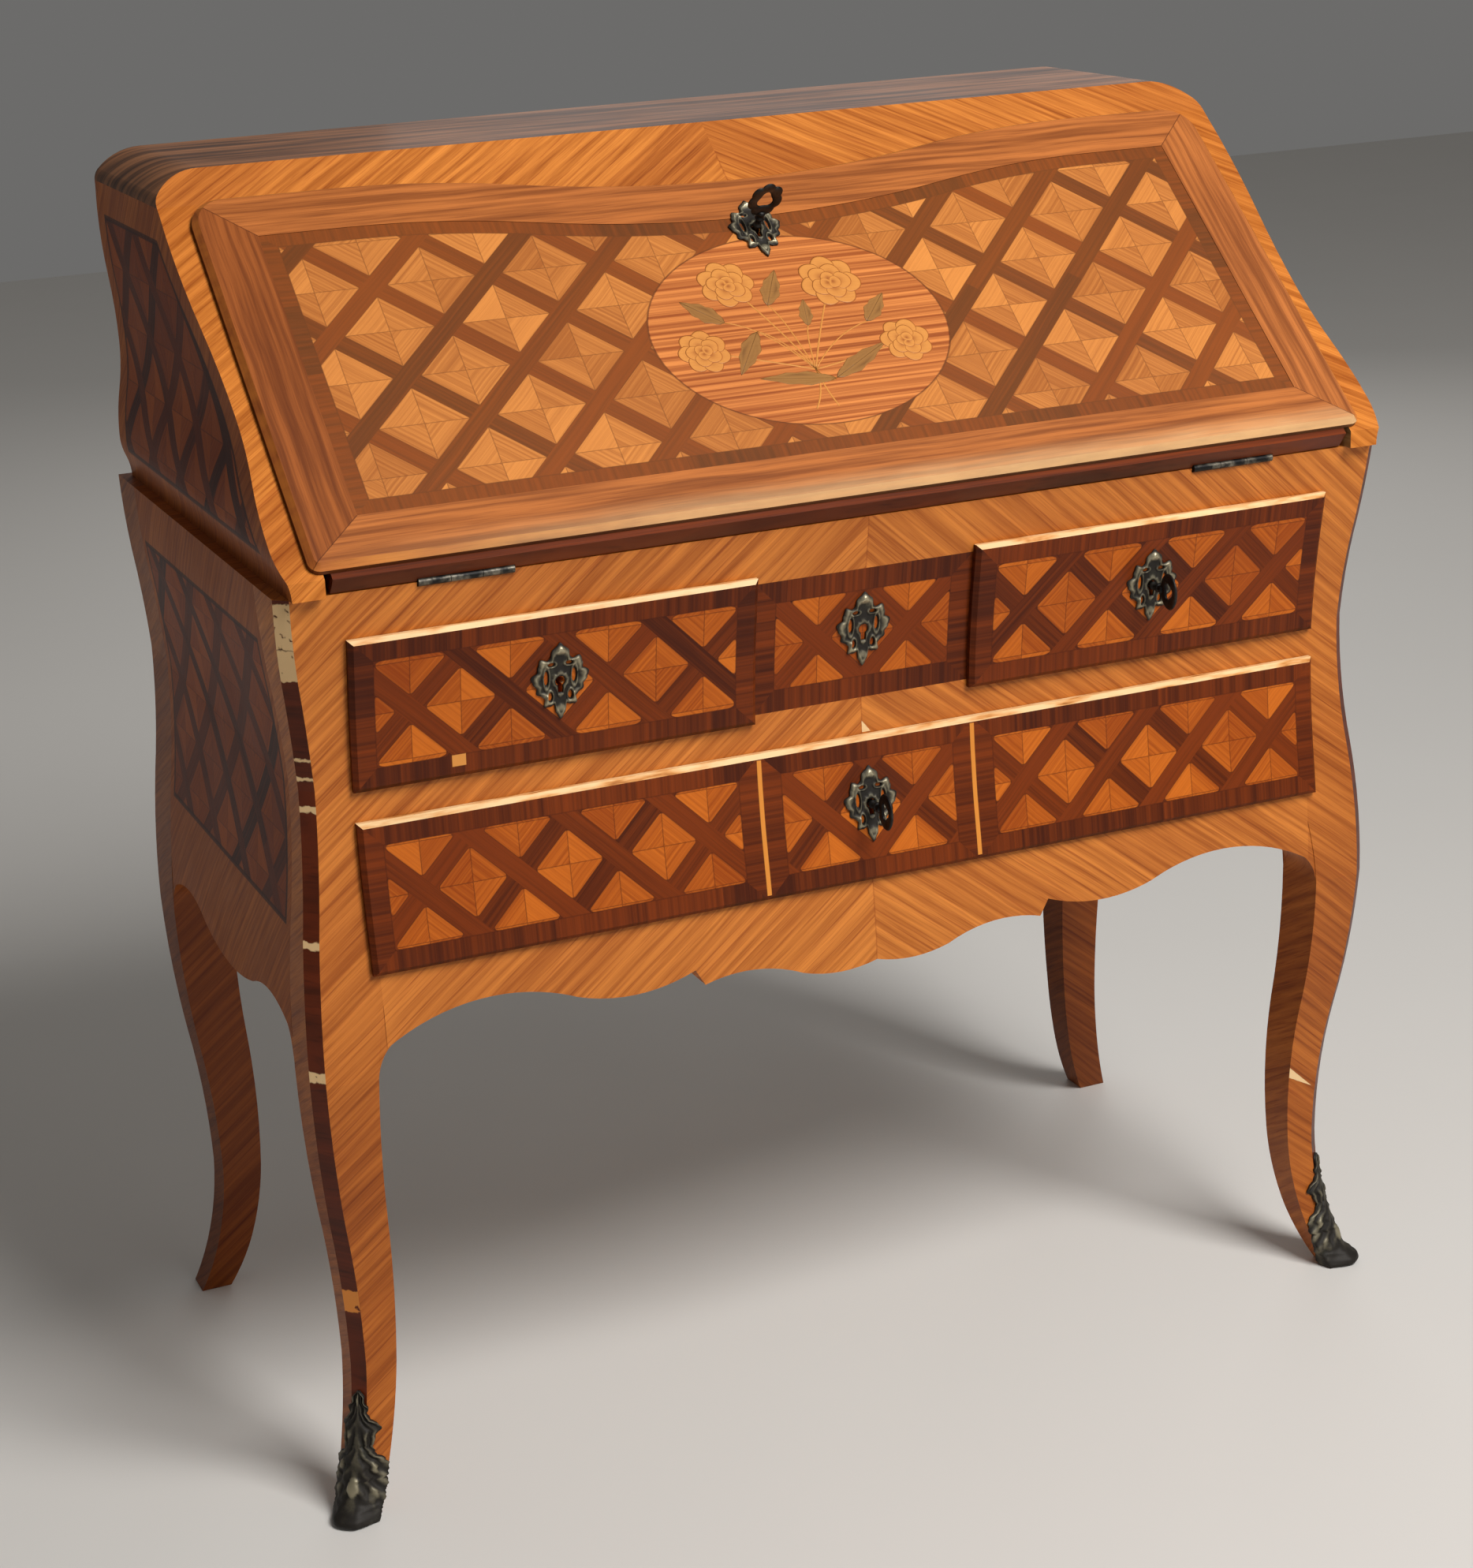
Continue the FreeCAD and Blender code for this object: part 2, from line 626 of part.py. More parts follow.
def end_bevel(line, start, way, wide, z):
    """All that lies behind a slanting cut along the shaped front, from one end of a lip."""
    far = FRONT_Y + wide + FAR
    rim = lines([at_height(line, z[1]), V(0, far, z[1]), V(0, far, z[0]), at_height(line, z[0])])
    face = Part.Face(Part.Wire(Part.__sortEdges__(arcs_between(line, z) + rim)))
    face.translate(V(start, 0, 0))
    return face.extrude(V(way * wide, -wide, 0))


def lip_block(x, z):
    """Overlapping lip of a drawer front, bevelled all round."""
    outer = LIP_PROUD + SLIDE_GAP
    fore = front_line(outer)
    shy = front_line(outer - LIP_BEVEL)
    aft = front_line(SLIDE_GAP)
    flat = (z[0] + LIP_BEVEL, z[1] - LIP_BEVEL)
    edges = arcs_between(fore, flat) + arcs_between(aft, z)
    for end, near in zip(z, flat):
        edges += lines([at_height(fore, near), at_height(shy, end), at_height(aft, end)])
    face = Part.Face(Part.Wire(Part.__sortEdges__(edges)))
    face.translate(V(x[0], 0, 0))
    wide = x[1] - x[0]
    block = face.extrude(V(wide, 0, 0))
    for start, way in ((x[0], 1), (x[1], -1)):
        block = block.common(end_bevel(shy, start, way, wide, z))
    return block


def drawer_front(x, z, key_at):
    """Lipped drawer front that follows the shaped case."""
    lip_x = (x[0] - LIP, x[1] + LIP)
    lip_z = (z[0] - LIP, z[1] + LIP)
    lip = lip_block(lip_x, lip_z)
    core_x = (x[0] + SLIDE_GAP, x[1] - SLIDE_GAP)
    core_z = (z[0] + SLIDE_GAP, z[1] - SLIDE_GAP)
    core = front_block(SLIDE_GAP + LIP_PROUD / 2, FRONT_BACK, core_x, core_z)
    whole = joined([lip, core])
    frame, rise = key_at
    whole = whole.cut(placed(lock_pocket(rise), frame))
    return whole.cut(placed(keyhole(LOCK_DEPTH - 1, FRONT_BACK * 2), frame))


def tails(x0, x1, y, z, count, grow=0.0):
    """Dovetail keys of a drawer side at its front end."""
    pitch = (z[1] - z[0]) / count
    pieces = []
    for k in range(count):
        mid = z[0] + pitch * (k + 0.5)
        wide = pitch * 0.34 + grow
        neck = pitch * 0.22 + grow
        points = [(y[1], mid - neck), (y[0], mid - wide), (y[0], mid + wide), (y[1], mid + neck)]
        rim = [V(x0, FRONT_Y + a, b) for a, b in points]
        pieces.append(Part.Face(Part.makePolygon(rim + rim[:1])).extrude(V(x1 - x0, 0, 0)))
    return pieces


def drawer_box(x, z):
    """Dovetailed sides, back and bottom of a drawer, as separate boards."""
    x = (x[0] + SLIDE_GAP, x[1] - SLIDE_GAP)
    low = z[0] + SLIDE_GAP
    side_z = (low, z[1] - SIDE_DROP)
    floor = low + BOTTOM_LIFT
    boards = []
    inner = (x[0] + DRAWER_SIDE, x[1] - DRAWER_SIDE)
    for a, b in ((x[0], inner[0]), (inner[1], x[1])):
        board = box((a, b), (FRONT_BACK, DRAWER_END), side_z)
        boards.append(joined([board] + tails(a, b, (FRONT_BACK - 9, FRONT_BACK), side_z, DOVETAILS)))
    boards.append(box(inner, (DRAWER_END - DRAWER_SIDE, DRAWER_END), (floor, side_z[1] - 8)))
    boards.append(box(inner, (FRONT_BACK, DRAWER_END - DRAWER_SIDE), (floor, floor + DRAWER_BOTTOM)))
    return group(boards)


def front_plate(x, z, forward, with_hole):
    """Key plate that follows the curve of what it sits on."""
    seat = forward + REST_GAP
    wide = PLATE_HALF_X + 2
    tall = PLATE_HALF_Z + 2
    sheet = front_layer(seat + PLATE, seat, (x - wide, x + wide), (z - tall, z + tall))
    plate = rococo(PLATE_HALF_X, PLATE_HALF_Z).extrude(V(0, 0, 2 * DEPTH))
    plate = plate.cut(keyhole(0, 2 * DEPTH)) if with_hole else plate
    return sheet.common(placed(plate, lock_frame(x, z)))


def fall_head_line(drop, level):
    """Waved head of the fall as three tangent arcs, at a drop below the lip."""
    high = FALL_HEAD - drop
    steep = 2 * math.atan2(FALL_DIP, WAVE_HALF)
    crown = (WAVE_HALF - WAVE_TURN) / math.sin(steep)
    bend = V(WAVE_TURN, high - crown * (1 - math.cos(steep)), level)
    near = V(WAVE_HALF - crown * math.sin(steep / 2), high - crown * (1 - math.cos(steep / 2)), level)
    other = [V(-p.x, p.y, p.z) for p in (bend, near)]
    ends = [V(WAVE_HALF, high, level), V(-WAVE_HALF, high, level)]
    edges = [
        Part.Arc(ends[0], near, bend).toShape(),
        Part.Arc(bend, V(0, high - FALL_DIP, level), other[0]).toShape(),
        Part.Arc(other[0], other[1], ends[1]).toShape(),
    ]
    return edges, ends


def corner_arc(s, x, y, r, way, level):
    """Quarter round from the upright side of the lip to its head or foot."""
    turn = r * (1 - math.sqrt(0.5))
    start = V(s * x, y + way * r, level)
    mid = V(s * (x - turn), y + way * turn, level)
    return Part.Arc(start, mid, V(s * (x - r), y, level))


def fall_lip_block():
    """Overlapping face of the fall with its bevelled edge."""
    level = REST_GAP
    half = FALL_LIP_HALF
    foot = FALL_LIP_FOOT
    edges, ends = fall_head_line(0, level)
    near = FALL_FOOT_CORNER
    edges.append(Part.makeLine(V(near - half, foot, level), V(half - near, foot, level)))
    for s, end in ((1, ends[0]), (-1, ends[1])):
        head = corner_arc(s, half, FALL_HEAD, FALL_CORNER, -1, level)
        base = corner_arc(s, half, foot, FALL_FOOT_CORNER, 1, level)
        edges += [base.toShape(), Part.makeLine(base.StartPoint, head.StartPoint), head.toShape()]
        edges.append(Part.makeLine(head.EndPoint, end))
    face = Part.Face(Part.Wire(Part.__sortEdges__(edges)))
    block = face.extrude(V(0, 0, FALL_LIP - REST_GAP))
    top = max(block.Faces, key=lambda f: f.CenterOfMass.z)
    return block.makeChamfer(FALL_EDGE_BEVEL, top.Edges)


def field_limits():
    """Field of the fall inside its frame: half width, foot and head at the sides."""
    half = FALL_LIP_HALF - FALL_FRAME_SIDE
    return half, FALL_LIP_FOOT + FALL_FRAME_FOOT, FALL_HEAD - FALL_FRAME_HEAD


def field_block(level, thick):
    """Field inside the frame, its head waved like the fall's."""
    half, low, high = field_limits()
    edges, ends = fall_head_line(FALL_FRAME_HEAD, level)
    rim = [ends[1], V(-half, high, level), V(-half, low, level), V(half, low, level)]
    rim += [V(half, high, level), ends[0]]
    return Part.Face(Part.Wire(Part.__sortEdges__(edges + lines(rim)))).extrude(V(0, 0, thick))


def fall_frame():
    """Four mitred members round the field."""
    half, low, high = field_limits()
    ring = fall_lip_block().cut(field_block(-1, 30))
    far = 2.0
    side = FALL_FRAME_SIDE * far
    corners = [
        V(half + side, low - FALL_FRAME_FOOT * far, -1),
        V(half + side, high + FALL_FRAME_HEAD * far, -1),
        V(-half - side, high + FALL_FRAME_HEAD * far, -1),
        V(-half - side, low - FALL_FRAME_FOOT * far, -1),
    ]
    inner = [V(half, low, -1), V(half, high, -1), V(-half, high, -1), V(-half, low, -1)]
    mid = V(0, (low + high) / 2, -1)
    members = []
    for k in range(4):
        n = (k + 1) % 4
        rim = [inner[k], corners[k], corners[n], inner[n], mid, inner[k]]
        members.append(ring.common(Part.Face(Part.makePolygon(rim)).extrude(V(0, 0, 30))))
    return group([on_slope(m) for m in members])


def fall_field():
    """Thick parquetry panel inside the frame."""
    panel = field_block(REST_GAP, FALL_LIP - REST_GAP - FIELD_SUNK)
    return on_slope(panel.cut(fall_keyhole()))


def fall_keyhole():
    """Keyhole through the fall, in the slope's frame."""
    hole = keyhole(LOCK_DEPTH - 1, FALL_CORE + FALL_LIP + 20)
    hole.translate(V(0, FALL_KEY_S, -FALL_CORE))
    return hole


def fall_core():
    """Board of the fall, cut for its lock, leather and hinges."""
    low = FOOT_S + FOOT_GAP
    head, points = fall_head_line(FALL_OVERLAP, -FALL_CORE)
    side = [V(CORE_HALF, points[0].y, -FALL_CORE), V(CORE_HALF, low, -FALL_CORE)]
    other = [V(-CORE_HALF, low, -FALL_CORE), V(-CORE_HALF, points[0].y, -FALL_CORE)]
    edges = head + lines([points[0]] + side + other + [points[-1]])
    face = Part.Face(Part.Wire(Part.__sortEdges__(edges)))
    board = face.extrude(V(0, 0, FALL_CORE + REST_GAP))
    pocket = lock_pocket(FALL_KEY_DROP + 6)
    pocket.translate(V(0, FALL_KEY_S, -FALL_CORE))
    leather = leather_block()
    board = board.cut(pocket).cut(leather).cut(fall_keyhole())
    board = on_slope(board)
    for s in (-1, 1):
        board = board.cut(hinge_room(s)).cut(fall_leaf_block(s))
    return board


def leather_block():
    """Writing leather let into the inner face, in the slope's frame."""
    x = (-LEATHER_HALF, LEATHER_HALF)
    return plain_box(x, LEATHER_SPAN, (-FALL_CORE, -FALL_CORE + LEATHER))


def hinge_span(s):
    """Ends of one hinge along the axis."""
    mid = s * HINGE_X
    return mid - HINGE_LONG / 2, mid + HINGE_LONG / 2


def axis_round(radius, x0, x1):
    """A round on the fall's hinge axis."""
    return Part.makeCylinder(radius, x1 - x0, V(x0, FRONT_Y, DECK_Z), V(1, 0, 0))


def hinge_room(s):
    """Groove for one hinge's knuckles."""
    x0, x1 = hinge_span(s)
    return axis_round(KNUCKLE_R + 0.4, x0 - 0.5, x1 + 0.5)


def case_leaf_block(s):
    """Leaf let flush into the top rail."""
    x0, x1 = hinge_span(s)
    return box((x0, x1), (0, HINGE_WIDE), (DECK_Z - HINGE_LEAF, DECK_Z))


def fall_leaf_block(s):
    """Leaf let flush into the fall's inner face."""
    x0, x1 = hinge_span(s)
    leaf = plain_box((x0, x1), (FOOT_S, FOOT_S + HINGE_WIDE), (-FALL_CORE, -FALL_CORE + HINGE_LEAF))
    return on_slope(leaf)


def knuckle_ranges(s, own):
    """Ranges of the knuckles on one leaf, every second one."""
    x0, x1 = hinge_span(s)
    long = (x1 - x0) / KNUCKLES
    gap = KNUCKLE_GAP / 2
    return [(x0 + k * long + gap, x0 + (k + 1) * long - gap) for k in range(own, KNUCKLES, 2)]


def hinge_leaf(s, own):
    """One leaf with its knuckles: own 0 is the rail's, own 1 the fall's."""
    leaf = case_leaf_block(s) if own == 0 else fall_leaf_block(s)
    for x0, x1 in knuckle_ranges(s, 1 - own):
        leaf = leaf.cut(axis_round(KNUCKLE_R + 0.3, x0 - KNUCKLE_GAP, x1 + KNUCKLE_GAP))
    whole = joined([leaf] + [axis_round(KNUCKLE_R, a, b) for a, b in knuckle_ranges(s, own)])
    bore = PIN_R if own == 0 else PIN_R + PIN_PLAY
    x0, x1 = hinge_span(s)
    return whole.cut(axis_round(bore, x0 - 1, x1 + 1))


def top_rail():
    """Rail under the fall, cut for the hinges and the upper locks' bolts."""
    rail = front_piece((-POST_IN_X, POST_IN_X), (UPPER_DRAWER_Z[1], DECK_Z))
    for s in (-1, 1):
        rail = rail.cut(hinge_room(s)).cut(case_leaf_block(s))
    for s in (-1, 1):
        frame, rise = upper_key(s)
        rail = rail.cut(placed(bolt_room(rise, rise - 1, rise + BOLT_THROW + 3), frame))
    return rail


def middle_rail():
    """Rail between the drawers, cut for the lower lock's bolt."""
    rail = front_piece((-POST_IN_X, POST_IN_X), (LOWER_DRAWER_Z[1], UPPER_DRAWER_Z[0]))
    frame, rise = lower_key()
    return rail.cut(placed(bolt_room(rise, rise - 1, rise + BOLT_THROW + 3), frame))


def upper_key(s):
    """Lock frame of an upper drawer, and the height from key to edge."""
    mid = s * (CENTRE_HALF + POST_IN_X) / 2
    return lock_frame(mid, UPPER_DRAWER_Z[1] - SLIDE_GAP - UPPER_KEY_DROP), UPPER_KEY_DROP


def lower_key():
    """Lock frame of the lower drawer, and the height from key to edge."""
    return lock_frame(0, LOWER_DRAWER_Z[1] - SLIDE_GAP - LOWER_KEY_DROP), LOWER_KEY_DROP


def slope_under(shape):
    """Keep what lies behind the slope's plane."""
    return shape.common(on_slope(plain_box((-FAR, FAR), (-FAR, 2 * FAR), (-2 * FAR, 0))))


def upper_side():
    """Waisted side of the upper case, cut to the slope."""
    rise = TOP_UNDER - DECK_Z
    points = [V(HALF + x, 0, DECK_Z + rise * part) for part, x in UPPER_OUTLINE]
    foot = points[0]
    head = points[-1]
    rim = [head, V(UPPER_IN_X, 0, head.z), V(UPPER_IN_X, 0, foot.z), foot]
    edges = swelling(points, V(1, 0, 0)) + lines(rim)
    slab = spread(Part.Face(Part.Wire(Part.__sortEdges__(edges))), V(0, FAR, 0))
    board = slab.common(box((0, FAR), (-NOSE_OUT, UPPER_DEPTH), (DECK_Z, TOP_UNDER)))
    return slope_under(board)


def top_board():
    """Top with rounded shoulders, cut to the slope."""
    half = HALF + UPPER_OUTLINE[-1][1]
    flat = half - SHOULDER_IN
    small = SHOULDER_TURN
    large = (SHOULDER_IN ** 2 + TOP_BOARD ** 2 - 2 * SHOULDER_IN * small) / (2 * (TOP_BOARD - small))
    turn = math.atan2(SHOULDER_IN - small, large - TOP_BOARD)
    edges = lines([V(-half, 0, TOP_UNDER), V(half, 0, TOP_UNDER)])
    for s in (1, -1):
        low = [(math.pi / 2 - a) for a in (0, (math.pi / 2 - turn) / 2, math.pi / 2 - turn)]
        run = [(half - small + small * math.sin(a), TOP_UNDER + small * math.cos(a)) for a in low]
        run += [(flat + large * math.sin(a), HEIGHT - large * (1 - math.cos(a))) for a in (turn / 2, 0)]
        edges += arcs_through([V(s * x, 0, z) for x, z in run])
    edges += lines([V(flat, 0, HEIGHT), V(-flat, 0, HEIGHT)])
    slab = spread(Part.Face(Part.Wire(Part.__sortEdges__(edges))), V(0, FAR, 0))
    return slope_under(slab.common(box((-FAR, FAR), (-FAR, UPPER_DEPTH), (TOP_UNDER, HEIGHT))))


def top_fascia():
    """Waved band above the fall, cut for the fall lock's bolt."""
    head, points = fall_head_line(FALL_OVERLAP - 1, -FASCIA)
    low = points[0].y
    high = FALL_HEAD + 2 * FASCIA
    rim = [points[-1], V(-UPPER_IN_X, low, -FASCIA), V(-UPPER_IN_X, high, -FASCIA)]
    rim += [V(UPPER_IN_X, high, -FASCIA), V(UPPER_IN_X, low, -FASCIA), points[0]]
    face = Part.Face(Part.Wire(Part.__sortEdges__(head + lines(rim))))
    band = face.extrude(V(0, 0, FASCIA))
    room = bolt_room(0, FALL_KEY_DROP - 2, FALL_KEY_DROP + BOLT_THROW + 4)
    room.translate(V(0, FALL_KEY_S, -FALL_CORE))
    band = on_slope(band.cut(room))
    return band.common(box((-FAR, FAR), (-FAR, FAR), (DECK_Z, TOP_UNDER)))


def partition(x):
    """Upright of the pigeonholes, its front swept back under the fall."""
    z0 = SHELF_Z + SHELF
    nose = V(x, FRONT_Y + GRADIN_FRONT, z0 + PARTITION_NOSE)
    fascia_back = FALL_HEAD * math.cos(SLOPE) - NOSE_OUT + FASCIA * math.sin(SLOPE)
    sweep_to = max(fascia_back + PARTITION_CLEAR, GRADIN_FRONT + PARTITION_SWEEP_LEAST)
    back = FRONT_Y + sweep_to
    top = V(x, back, TOP_UNDER)
    sweep = swelling([nose, top], V(0, 1, 0))
    rear = FRONT_Y + UPPER_DEPTH - BACK
    rim = lines([top, V(x, rear, TOP_UNDER), V(x, rear, z0), V(x, FRONT_Y + GRADIN_FRONT, z0), nose])
    return Part.Face(Part.Wire(Part.__sortEdges__(sweep + rim))).extrude(V(PARTITION, 0, 0))


def partitions():
    """Pigeonhole uprights, and the two that part off the small drawers."""
    step = 2 * UPPER_IN_X / PIGEONHOLES
    pieces = [partition(-UPPER_IN_X + step * k - PARTITION / 2) for k in range(1, PIGEONHOLES)]
    inner = UPPER_IN_X - SMALL_DRAWER_WIDE
    for s in (-1, 1):
        x = sorted((s * inner, s * (inner - PARTITION)))
        pieces.append(box(x, (GRADIN_FRONT, UPPER_DEPTH - BACK), (DECK_Z, SHELF_Z)))
    return group(pieces)


def small_limits():
    """Opening of the right small drawer: across and up."""
    return (UPPER_IN_X - SMALL_DRAWER_WIDE, UPPER_IN_X), (DECK_Z, SHELF_Z)


def small_front():
    """Front of a small drawer."""
    x, z = small_limits()
    gap = SLIDE_GAP
    y = (GRADIN_FRONT, GRADIN_FRONT + SMALL_FRONT)
    return box((x[0] + gap, x[1] - gap), y, (z[0] + gap, z[1] - gap))


def small_box():
    """Sides, back and bottom of a small drawer."""
    x, z = small_limits()
    x = (x[0] + SLIDE_GAP, x[1] - SLIDE_GAP)
    low = z[0] + SLIDE_GAP
    y0 = GRADIN_FRONT + SMALL_FRONT
    y1 = UPPER_DEPTH - BACK - SMALL_TAIL_GAP
    inner = (x[0] + SMALL_SIDE, x[1] - SMALL_SIDE)
    top = z[1] - 8
    boards = [box(r, (y0, y1), (low, top)) for r in ((x[0], inner[0]), (inner[1], x[1]))]
    boards.append(box(inner, (y1 - SMALL_SIDE, y1), (low, top)))
    boards.append(box(inner, (y0, y1 - SMALL_SIDE), (low, low + SMALL_SIDE - 2)))
    return group(boards)


def small_knob():
    """Eight-sided knob of a small drawer."""
    x, z = small_limits()
    rings = []
    for out, wide in ((0.0, 0.7), (0.4, 0.42), (0.7, 1.0), (1.0, 0.6)):
        turns = [math.pi * (k + 0.5) / 4 for k in range(8)]
        size = KNOB_R * wide
        rings.append([V(size * math.cos(t), size * math.sin(t), KNOB_OUT * out) for t in turns])
    rims = [rings[0], rings[-1]]
    for low, high in zip(rings, rings[1:]):
        rims += [[low[k - 1], low[k], high[k], high[k - 1]] for k in range(8)]
    knob = Part.Solid(Part.Shell([Part.Face(Part.makePolygon(r + r[:1])) for r in rims]))
    knob.rotate(V(0, 0, 0), V(1, 0, 0), 90)
    knob.translate(V(sum(x) / 2, FRONT_Y + GRADIN_FRONT, sum(z) / 2))
    return knob


def add_drawer(parts, name, x, z, key_at, with_key):
    """Front, box, lock, bolt, plate and perhaps key of one drawer."""
    frame, rise = key_at
    spot = frame.Base
    parts[name + "_front"] = drawer_front(x, z, key_at)
    box_boards = drawer_box(x, z)
    parts[name + "_front"] = parts[name + "_front"].cut(group(box_boards.Solids[:2]))
    parts[name + "_box"] = box_boards
    parts[name + "_lock"] = placed(lock_case(rise), frame)
    parts[name + "_bolt"] = placed(lock_bolt(rise), frame)
    parts[name + "_plate"] = front_plate(spot.x, spot.z, LIP_PROUD + SLIDE_GAP, True)
    if with_key:
        reach = FRONT_BACK - (at_height(front_line(), spot.z).y - FRONT_Y) + LIP_PROUD + PLATE
        parts[name + "_key"] = placed(key(reach), frame)


def build():
    """Every node of the desk by name."""
    parts = {}
    leg = front_leg()
    rear = rear_leg()
    side = side_panel()
    upper = upper_side()
    cast = shoe(leg)
    for hand, turn in (("right", lambda s: s), ("left", mirrored)):
        parts["leg_front_" + hand] = turn(leg)
        parts["leg_rear_" + hand] = turn(rear)
        parts["side_panel_" + hand] = turn(side)
        parts["upper_side_" + hand] = turn(upper)
        parts["shoe_front_" + hand] = turn(cast)
        parts["small_drawer_front_" + hand] = turn(small_front())
        parts["small_drawer_box_" + hand] = turn(small_box())
        parts["small_drawer_knob_" + hand] = turn(small_knob())
    parts["top_rail"] = top_rail()
    parts["middle_rail"] = middle_rail()
    parts["front_apron"] = front_apron()
    parts["centre_panel"] = front_piece((-CENTRE_HALF, CENTRE_HALF), UPPER_DRAWER_Z)
    mid = upper_key(1)[0].Base.z
    parts["centre_plate"] = front_plate(0, mid, 0, True)
    deep = (RAIL_BACK, INSIDE)
    high = UPPER_DRAWER_Z[0]
    low = LOWER_DRAWER_Z[0]
    parts["dust_board"] = notched_board(deep, (high - BOARD, high))
    parts["bottom_board"] = notched_board(deep, (low - BOARD, low))
    parts["writing_deck"] = notched_board(deep, (DECK_Z - DECK, DECK_Z))
    parts["drawer_guides"] = guides()
    parts["drawer_dividers"] = dividers()
    parts["lower_back"] = box((-POST_IN_X, POST_IN_X), (INSIDE, INSIDE + BACK), (low - BACK_SKIRT, DECK_Z))
    parts["top_board"] = top_board()
    parts["top_fascia"] = top_fascia()
    rear_y = (UPPER_DEPTH - BACK, UPPER_DEPTH)
    parts["upper_back"] = box((-UPPER_IN_X, UPPER_IN_X), rear_y, (DECK_Z, TOP_UNDER))
    parts["pigeonhole_shelf"] = box(
        (-UPPER_IN_X, UPPER_IN_X), (GRADIN_FRONT, UPPER_DEPTH - BACK), (SHELF_Z, SHELF_Z + SHELF)
    )
    parts["pigeonhole_partitions"] = partitions()
    parts["hinge_rail_leaves"] = group([hinge_leaf(s, 0) for s in (-1, 1)])
    parts["hinge_fall_leaves"] = group([hinge_leaf(s, 1) for s in (-1, 1)])
    parts["hinge_pins"] = group([axis_round(PIN_R, *hinge_span(s)) for s in (-1, 1)])
    parts["fall_core"] = fall_core()
    parts["fall_frame"] = fall_frame()
    parts["fall_field"] = fall_field()
    parts["fall_leather"] = on_slope(leather_block())
    frame = ON_SLOPE.multiply(FreeCAD.Placement(V(0, FALL_KEY_S, -FALL_CORE), FreeCAD.Rotation()))
    parts["fall_lock"] = placed(lock_case(FALL_KEY_DROP), frame)
    parts["fall_bolt"] = placed(lock_bolt(FALL_KEY_DROP), frame)
    quarter = FreeCAD.Placement(V(0, 0, 0), FreeCAD.Rotation(V(0, 0, 1), 90))
    level = FALL_CORE + FALL_LIP
    parts["fall_key"] = placed(placed(key(level + PLATE), quarter), frame)
    plate = rococo(FALL_PLATE_HALF_X, FALL_PLATE_HALF_S).extrude(V(0, 0, PLATE))
    plate = plate.cut(keyhole(-1, PLATE + 1))
    plate.translate(V(0, 0, level))
    parts["fall_plate"] = placed(plate, frame)
    upper_x = (CENTRE_HALF, POST_IN_X)
    add_drawer(parts, "upper_left_drawer", (-upper_x[1], -upper_x[0]), UPPER_DRAWER_Z, upper_key(-1), False)
    add_drawer(parts, "upper_right_drawer", upper_x, UPPER_DRAWER_Z, upper_key(1), True)
    add_drawer(parts, "lower_drawer", (-POST_IN_X, POST_IN_X), LOWER_DRAWER_Z, lower_key(), True)
    return parts


os.makedirs("parts", exist_ok=True)
for name, shape in build().items():
    shape.exportStep("parts/" + name + ".step")
    print(name, len(shape.Solids), shape.isValid(), round(shape.Volume / 1000.0, 2), "cm3")
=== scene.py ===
"""Slope-front writing desk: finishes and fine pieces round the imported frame."""
import cmath
import json
import math

import bmesh
import bpy
from bpy.props import FloatProperty, FloatVectorProperty, PointerProperty
from mathutils import Matrix, Vector
from mathutils.bvhtree import BVHTree


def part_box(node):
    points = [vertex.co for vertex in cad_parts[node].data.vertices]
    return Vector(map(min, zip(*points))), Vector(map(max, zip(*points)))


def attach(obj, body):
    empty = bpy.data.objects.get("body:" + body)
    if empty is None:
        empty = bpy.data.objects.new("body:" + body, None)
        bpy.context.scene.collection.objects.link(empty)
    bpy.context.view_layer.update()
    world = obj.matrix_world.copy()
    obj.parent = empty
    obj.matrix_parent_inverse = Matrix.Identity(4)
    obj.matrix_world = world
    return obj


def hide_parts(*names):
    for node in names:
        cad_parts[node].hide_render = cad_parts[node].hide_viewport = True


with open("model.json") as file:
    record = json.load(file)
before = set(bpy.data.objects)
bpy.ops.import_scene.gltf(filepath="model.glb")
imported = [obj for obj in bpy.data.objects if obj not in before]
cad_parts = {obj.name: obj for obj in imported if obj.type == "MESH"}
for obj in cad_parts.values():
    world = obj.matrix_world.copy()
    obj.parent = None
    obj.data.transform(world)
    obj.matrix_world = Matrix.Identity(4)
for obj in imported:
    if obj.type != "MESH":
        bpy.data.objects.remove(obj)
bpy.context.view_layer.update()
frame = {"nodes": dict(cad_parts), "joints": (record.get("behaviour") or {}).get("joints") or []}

bl_info = {
    "name": "Slope-front writing desk",
    "version": (1, 0, 0),
    "blender": (4, 5, 0),
    "location": "View3D > Sidebar > Desk",
    "description": "Veneers, parquetry, inlay and bronze for a slope-front writing desk",
    "category": "Object",
}

NODES = frame["nodes"]
JOINTS = {joint["name"]: joint for joint in frame["joints"]}
RIGHT = Vector((1, 0, 0))
FORWARD = Vector((0, -1, 0))
UP = Vector((0, 0, 1))

# The fall's own directions, from its key and bolt
FALL_KEY = Vector(JOINTS["fall_key_turn"]["pos_m"])
FALL_UP = Vector(JOINTS["fall_bolt_slide"]["axis"])
FALL_OUT = Vector(JOINTS["fall_key_turn"]["axis"])

# Photograph's frame and the camera that took it
PHOTO_WIDE = 1868
PHOTO_HIGH = 1988
CAMERA_AT = Vector((-0.9097, -2.1025, 1.2054))
CAMERA_AIM = Vector((-0.0067, 0.0, 0.4409))
CAMERA_ROLL = math.radians(-2.47)
CAMERA_FOCAL = 3870.4
CAMERA_CENTRE = (953.3, 993.4)
SENSOR = 36.0

